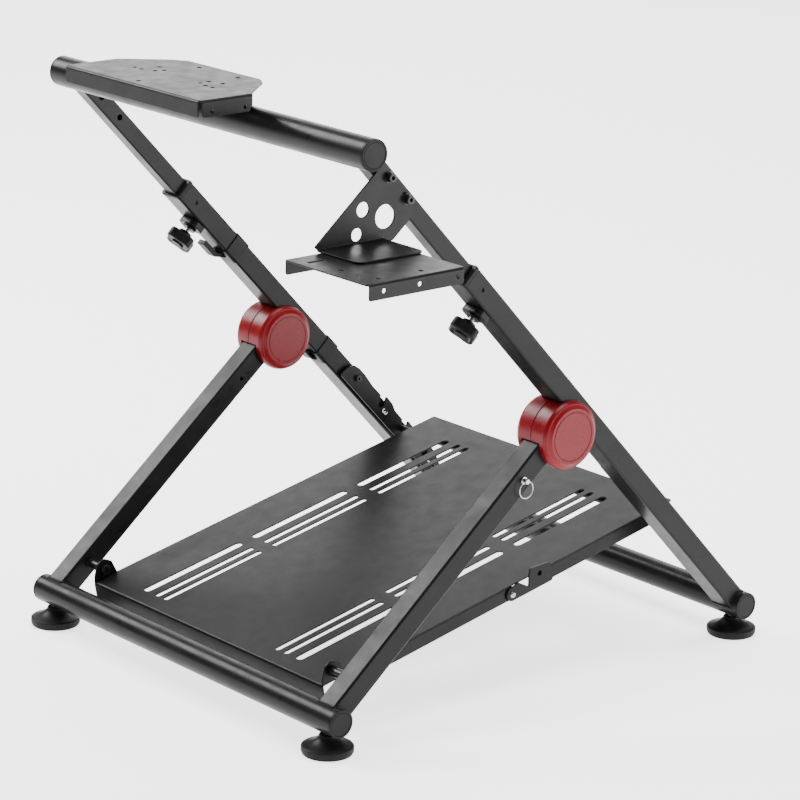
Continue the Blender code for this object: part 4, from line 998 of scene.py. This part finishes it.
def rail_latch():
    """Fold lock: lever with a V notch and a thumb tab, its rivet and its spring."""
    rivet_s, rivet_v = LATCH_PLACE
    place = at(PEDAL, (PEDAL_WIDTH / 2 + GAP + 0.0015, rivet_s, rivet_v), STAND_SIDEWAYS)
    end = 0.0095
    outline = filleted([*arc(0, 0, end, 100, 260, 14), (0.030, -end), (0.072, -end, 0.004),
                        (0.0735, -0.004, 0.004), (0.071, 0.018, 0.005), (0.036, 0.023, 0.003),
                        (0.033, 0.014, 0.001), (0.030, -0.001, 0.001), (0.014, 0.0115, 0.002)])
    holes = [circle(0, 0, 0.0033), circle(0.051, 0.010, 0.0036)]
    add("rail_latch_lever", plate(outline, 0.003, holes, 0.0006), STEEL, "latch", place,
        ["rail_latch"])
    outer = 0.0033 + GAP
    profile = eased([(0, outer + 0.0012), (0.0013, outer + 0.0012), (0.0018, outer + 0.0027, 0.0003),
                     (0.0028, outer + 0.0026, 0.0008), (0.0043, outer + 0.0008, 0.0006), (0.0043, outer),
                     (0.0029, outer), (0.0029, -0.0028), (0.0050, -0.0028), (0.0050, -0.0046, 0.0006),
                     (0, -0.0046)])
    add("latch_rivet_dome", turned(profile, 64), ZINC, "pedal_frame",
        at(PEDAL, (PEDAL_WIDTH / 2, rivet_s, rivet_v), ALONG_X), ["latch_rivet"])
    turns = 5
    count = 24 * turns
    circles = arc(0, 0, 0.0021, 0, 360 * turns, count)
    coil = [Vector((x, y, 0.010 * step / count)) for step, (x, y) in enumerate(circles)]
    spring = swept(coil, 0.00045, 8, closed=False)
    add("latch_spring", spring, ZINC, "latch",
        at(PEDAL, (PEDAL_WIDTH / 2 - 0.0042, rivet_s + 0.058, rivet_v - 0.004), STAND_FACING), sharp=80)


def pedal_frame():
    """Pedal plate and everything that swings with it."""
    pedal_plate()
    for side_name, side in SIDES:
        pedal_ear(side_name, side)
    rod_hole = circle(ROD_S, ROD_V, ROD_RADIUS + GAP)
    side_rail("side_rail_left", -1, 0.040, 0.600, [rod_hole])
    side_rail("side_rail_right_front", 1, 0.040, 0.332, [circle(*LATCH_PLACE, 0.0033)])
    side_rail("side_rail_right_rear", 1, 0.372, 0.600, [rod_hole])
    end = 0.2753
    ends = eased([(0, end), (ROD_RADIUS, end, 0.001), (ROD_RADIUS, -end, 0.001), (0, -end)])
    add("hook_rod_bar", turned(ends, 64), STEEL, "pedal_frame",
        at(PEDAL, (0, ROD_S, ROD_V), ALONG_X), ["hook_rod"])
    rail_latch()


# ---- upper frame
def inner_tube(side_name, side):
    """Square telescoping tube, coped and welded to the top cross tube."""
    node = f"inner_tube_{side_name}"
    section = (INNER_SIDE, INNER_SIDE)
    tube = raised(square_tube(*section, TOP_ALONG - INNER_START, 0.0024, 0.001), INNER_START)
    place = at(MAIN, (side * MAIN_X, 0, 0))
    tools = [drill(TOP_RADIUS + GAP, 0, TOP_OFF, TOP_ALONG, steps=96)]
    tools += [drill(BOLT_BORE, 0, *local(MAIN, y, z)) for y, z in GUSSET_BOLTS]
    add(node + "_tube", carved(tube, tools), STEEL, "upper_frame", place, [node])
    weld_ring(f"top_weld_{side_name}", "upper_frame", place, section, TOP_RADIUS, TOP_ALONG, -1, TOP_OFF)


def wheel_plate():
    """Wheel plate whose front and sides are bent down, with open corners."""
    front = -0.088
    half = 0.143
    side_end = -0.006
    back = 0.060
    flange = 0.0215 - FOLD
    line_x = half - FOLD
    line_y = front + FOLD
    outer_x = line_x + BEND_LENGTH + flange
    outer_y = line_y - BEND_LENGTH - flange
    corner = FOLD + 0.0006
    edge_x = half - corner
    edge_y = front + corner
    outline = filleted([(-edge_x, outer_y, 0.002), (edge_x, outer_y, 0.002), (edge_x, edge_y, 0.0005),
                        (outer_x, edge_y, 0.002), (outer_x, side_end - 0.004, 0.003),
                        (line_x, side_end, 0.001), (0.094, 0.048, 0.006), (0.074, back, 0.014),
                        (-0.074, back, 0.014), (-0.094, 0.048, 0.006), (-line_x, side_end, 0.001),
                        (-outer_x, side_end - 0.004, 0.003), (-outer_x, edge_y, 0.002),
                        (-edge_x, edge_y, 0.0005)])
    places = ((-0.0785, -0.0234), (-0.0648, -0.0235), (-0.0446, -0.0164), (-0.0617, 0.0035),
              (-0.0413, -0.0046), (-0.0036, -0.0723), (-0.0302, 0.0424), (0.0509, -0.017), (0.0506, -0.0038),
              (0.0677, -0.0219), (0.0833, -0.0228), (0.0702, 0.0031), (0.0497, 0.043))
    holes = [circle(x, y, 0.0032) for x, y in places]
    drop_hole = line_x + BEND_LENGTH + WHEEL_Z - 0.805 - FOLD
    for y in (-0.069, -0.0175):
        holes += [circle(side * drop_hole, y, 0.0026) for _, side in SIDES]
    sheet = plate(outline, SHEET, holes, 0.0005)
    sheet = bent(sheet, (0, line_y), (0, -1), 90, (-edge_x - 0.0002, edge_x + 0.0002))
    for _, side in SIDES:
        sheet = bent(sheet, (side * line_x, 0), (side, 0), 90)
    add("wheel_plate_sheet", sheet, SATIN, "upper_frame", at(ROOT, (0, 0, WHEEL_Z - SHEET / 2)),
        ["wheel_plate"])


def wheel_plate_bracket():
    """Bent bridge between the top tube and the wheel plate."""
    top = WHEEL_Z - SHEET - GAP
    half = 0.060
    wall = 0.003
    low = TOP_Z + TOP_RADIUS - 0.012
    inside = half - wall
    outline = filleted([(-half, low), (-half, top, 0.005), (half, top, 0.005), (half, low), (inside, low),
                        (inside, top - wall, 0.002), (-inside, top - wall, 0.002), (-inside, low)])
    bridge = plate(outline, 0.044, edge=0.0005)
    bridge = carved(bridge, [drill(TOP_RADIUS + GAP, 0, TOP_Z, length=0.2, steps=96)])
    add("wheel_bracket_channel", bridge, STEEL, "upper_frame", at(ROOT, (0, TOP_Y, 0), STAND_FACING),
        ["wheel_plate_bracket"])
    for side_name, side in SIDES:
        for face in (-1, 1):
            x = side * (half if face > 0 else inside)
            path = [Vector((x, y, z)) for y, z in arc(TOP_Y, TOP_Z, TOP_RADIUS, 134, 46, 32)]
            name = f"wheel_bracket_weld_{side_name}_{'outer' if face > 0 else 'inner'}"
            bead = swept(path, 0.0015, ripple=0.15, closed=False)
            add(name, bead, STEEL, "upper_frame", at(ROOT), sharp=80)


def shifter_gusset():
    """Gusset bolted to the right inner tube; its foot is bent out over the shelf."""
    thickness = GUSSET_THICKNESS
    middle_x = GUSSET_INNER_X + thickness / 2
    fold = SHELF_Z + GAP + thickness / 2 + BEND
    foot = 0.3898 - middle_x - BEND
    edge = fold - BEND_LENGTH - foot
    slit = fold + 0.0006
    outline = filleted([(-0.038, edge, 0.010), (0.066, edge, 0.010), (0.066, slit), (0.0675, slit),
                        (0.0675, 0.6575), (0.080, 0.6560, 0.004), (0.106, 0.678, 0.006),
                        (0.110, 0.690, 0.008), (0.069, 0.753, 0.006), (0.062, 0.755, 0.005),
                        (0.049, 0.742, 0.006), (-0.043, fold + 0.0020, 0.0015), (-0.038, fold - 0.0010)])
    holes = [circle(0.067, 0.688, 0.0152, 64), circle(0.0317, 0.7012, 0.0095, 48),
             circle(0.0228, 0.6712, 0.0083, 48)]
    holes += [circle(y, z, BOLT_BORE) for y, z in GUSSET_BOLTS]
    sheet = plate(outline, thickness, holes, 0.0006)
    sheet = bent(sheet, (0, fold), (0, -1), -90, (-0.0670, 0.0670))
    add("shifter_gusset_sheet", sheet, SATIN, "upper_frame", at(ROOT, (middle_x, 0, 0), STAND_SIDEWAYS),
        ["shifter_gusset"])


def shifter_shelf():
    """Level shelf whose long sides are bent down."""
    middle_x = (SHELF_INNER_X + SHELF_OUTER_X) / 2
    middle_y = (SHELF_FRONT_Y + SHELF_BACK_Y) / 2
    half_x = (SHELF_OUTER_X - SHELF_INNER_X) / 2
    half_y = (SHELF_BACK_Y - SHELF_FRONT_Y) / 2
    line = half_x - FOLD
    outer = line + BEND_LENGTH + 0.020 - FOLD
    step_in = 0.0025
    corners = []
    for side, level in ((-1, -1), (1, -1), (1, 1), (-1, 1)):
        edge = (side * line, level * half_y, 0.0006)
        notch = (side * (line + 0.0002), level * (half_y - step_in))
        tip = (side * outer, level * (half_y - step_in), 0.003)
        corners += [tip, notch, edge] if side == level else [edge, notch, tip]
    holes = [circle(x - middle_x, y - middle_y, 0.0032) for x, y in ((0.452, -0.060), (0.452, 0.005))]
    holes += [slot_outline(0.345 - middle_x, -0.080 - middle_y, -0.056 - middle_y, 0.0064),
              circle(0.395 - middle_x, -0.070 - middle_y, 0.0032)]
    drop_hole = line + BEND_LENGTH + 0.010 - FOLD
    holes += [circle(drop_hole, y - middle_y, 0.003) for y in (-0.066, -0.011, 0.047)]
    sheet = plate(filleted(corners), SHEET, holes, 0.0005)
    for _, side in SIDES:
        sheet = bent(sheet, (side * line, 0), (side, 0), 90)
    add("shifter_shelf_sheet", sheet, SATIN, "upper_frame",
        at(ROOT, (middle_x, middle_y, SHELF_Z - SHEET / 2)), ["shifter_shelf"])


def gusset_bolt(number, y, z):
    """Socket screw, washer and nut that hold the gusset to the inner tube."""
    node = f"gusset_bolt_{number}"
    face = GUSSET_INNER_X + GUSSET_THICKNESS
    inner_face = MAIN_X - INNER_SIDE / 2
    washer = holed(circle(0, 0, 0.0078, 48), 0.0010, 0.0041, 0.0002)
    nut = holed(hexagon(0.0115), 0.0050, 0.0038, 0.0005)
    add(f"{node}_washer", washer, BOLT, "upper_frame", at(ROOT, (face, y, z), ALONG_X))
    socket_head(f"{node}_head", 0.0060, 0.0067, 0.0050, "upper_frame",
                at(ROOT, (face + 0.001, y, z), ALONG_X), [node])
    start = face + 0.001
    end = inner_face - 0.0055
    shank = [(0, start), *thread(0.0039, start, end), (0, end)]
    add(f"{node}_shank", turned(shank, 32), BOLT, "upper_frame", at(ROOT, (0, y, z), ALONG_X))
    add(f"{node}_nut", nut, BOLT, "upper_frame", at(ROOT, (inner_face - GAP, y, z), ALONG_MINUS_X))


def upper_frame():
    """The telescoping part: inner tubes, top tube, wheel plate and shifter shelf."""
    cross_tube("top_cross_tube", "upper_frame", TOP_Y, TOP_Z, TOP_RADIUS, TOP_LENGTH)
    for side_name, side in SIDES:
        end_cap(f"top_tube_cap_{side_name}", "upper_frame", side, TOP_Y, TOP_Z, TOP_RADIUS, TOP_LENGTH)
        inner_tube(side_name, side)
    wheel_plate()
    wheel_plate_bracket()
    shifter_gusset()
    shifter_shelf()
    for number, (y, z) in enumerate(GUSSET_BOLTS, start=1):
        gusset_bolt(number, y, z)


# ---- studio
def studio_floor():
    """Plain pale floor of fine matt paper."""
    work = bmesh.new()
    bmesh.ops.create_circle(work, cap_ends=True, segments=96, radius=60)
    mesh = mesh_of(work)
    material, tree, shader, where = start_material("studio_paper", None)
    cloud = noise(tree, where, 1.5, 3)
    tree.links.new(mixed(tree, cloud, (0.86, 0.86, 0.86), (0.88, 0.88, 0.88)), shader.inputs["Base Color"])
    shader.inputs["Roughness"].default_value = 0.6
    shader.inputs["Emission Color"].default_value = (1, 1, 1, 1)
    shader.inputs["Emission Strength"].default_value = 2.2
    bumped(tree, shader, [(noise(tree, where, 700, 2), 0.1, 0.0001)])
    mesh.materials.append(material)
    floor = linked("studio_floor", mesh)
    floor.location.z = -0.0002


def area_light(name, location, size, power):
    """Soft light that looks at the middle of the stand."""
    light = bpy.data.lights.new(name, "AREA")
    light.shape = "RECTANGLE"
    light.size = size[0]
    light.size_y = size[1]
    light.energy = power
    obj = linked(name, light)
    obj.location = location
    obj.rotation_euler = (Vector((0, 0, 0.4)) - obj.location).to_track_quat("-Z", "Y").to_euler()


def studio_light():
    """Dim surroundings, a pale wall of light behind on the left and soft boxes for the highlights."""
    world = bpy.data.worlds.new("studio")
    world.use_nodes = True
    background = world.node_tree.nodes["Background"]
    background.inputs["Color"].default_value = (1, 1, 1, 1)
    background.inputs["Strength"].default_value = 0.25
    bpy.context.scene.world = world
    area_light("ceiling", (0, 0.5, 4.5), (2.5, 2.5), 240)
    area_light("left_box", (-3.2, -1.3, 3.0), (1.7, 2.0), 250)
    area_light("back_wall", (-4.2, 3.6, 2.3), (4.5, 2.6), 155)
    area_light("side_box", (3.0, 2.5, 0.75), (1.8, 1.1), 120)


def camera():
    """Camera at the angle from which the stand's picture was taken."""
    around = 0.8607984
    above = 0.2844474
    roll = 0.0208391
    stand_at = (3.43632, -2.58818, 1.65465)
    back = Vector((math.sin(around) * math.cos(above), -math.cos(around) * math.cos(above), math.sin(above)))
    level = Vector((math.cos(around), math.sin(around), 0))
    up = back.cross(level)
    right = level * math.cos(roll) + up * math.sin(roll)
    top = up * math.cos(roll) - level * math.sin(roll)
    lens = bpy.data.cameras.new("camera")
    lens.sensor_width = 36
    lens.lens = 155.56
    lens.clip_end = 200
    obj = linked("camera", lens)
    turn = Matrix((right, top, back)).transposed().to_4x4()
    obj.matrix_world = ORIGIN @ Matrix.Translation(stand_at) @ turn
    bpy.context.scene.camera = obj


main_frame()
front_frame()
pedal_frame()
upper_frame()
studio_floor()
studio_light()
camera()
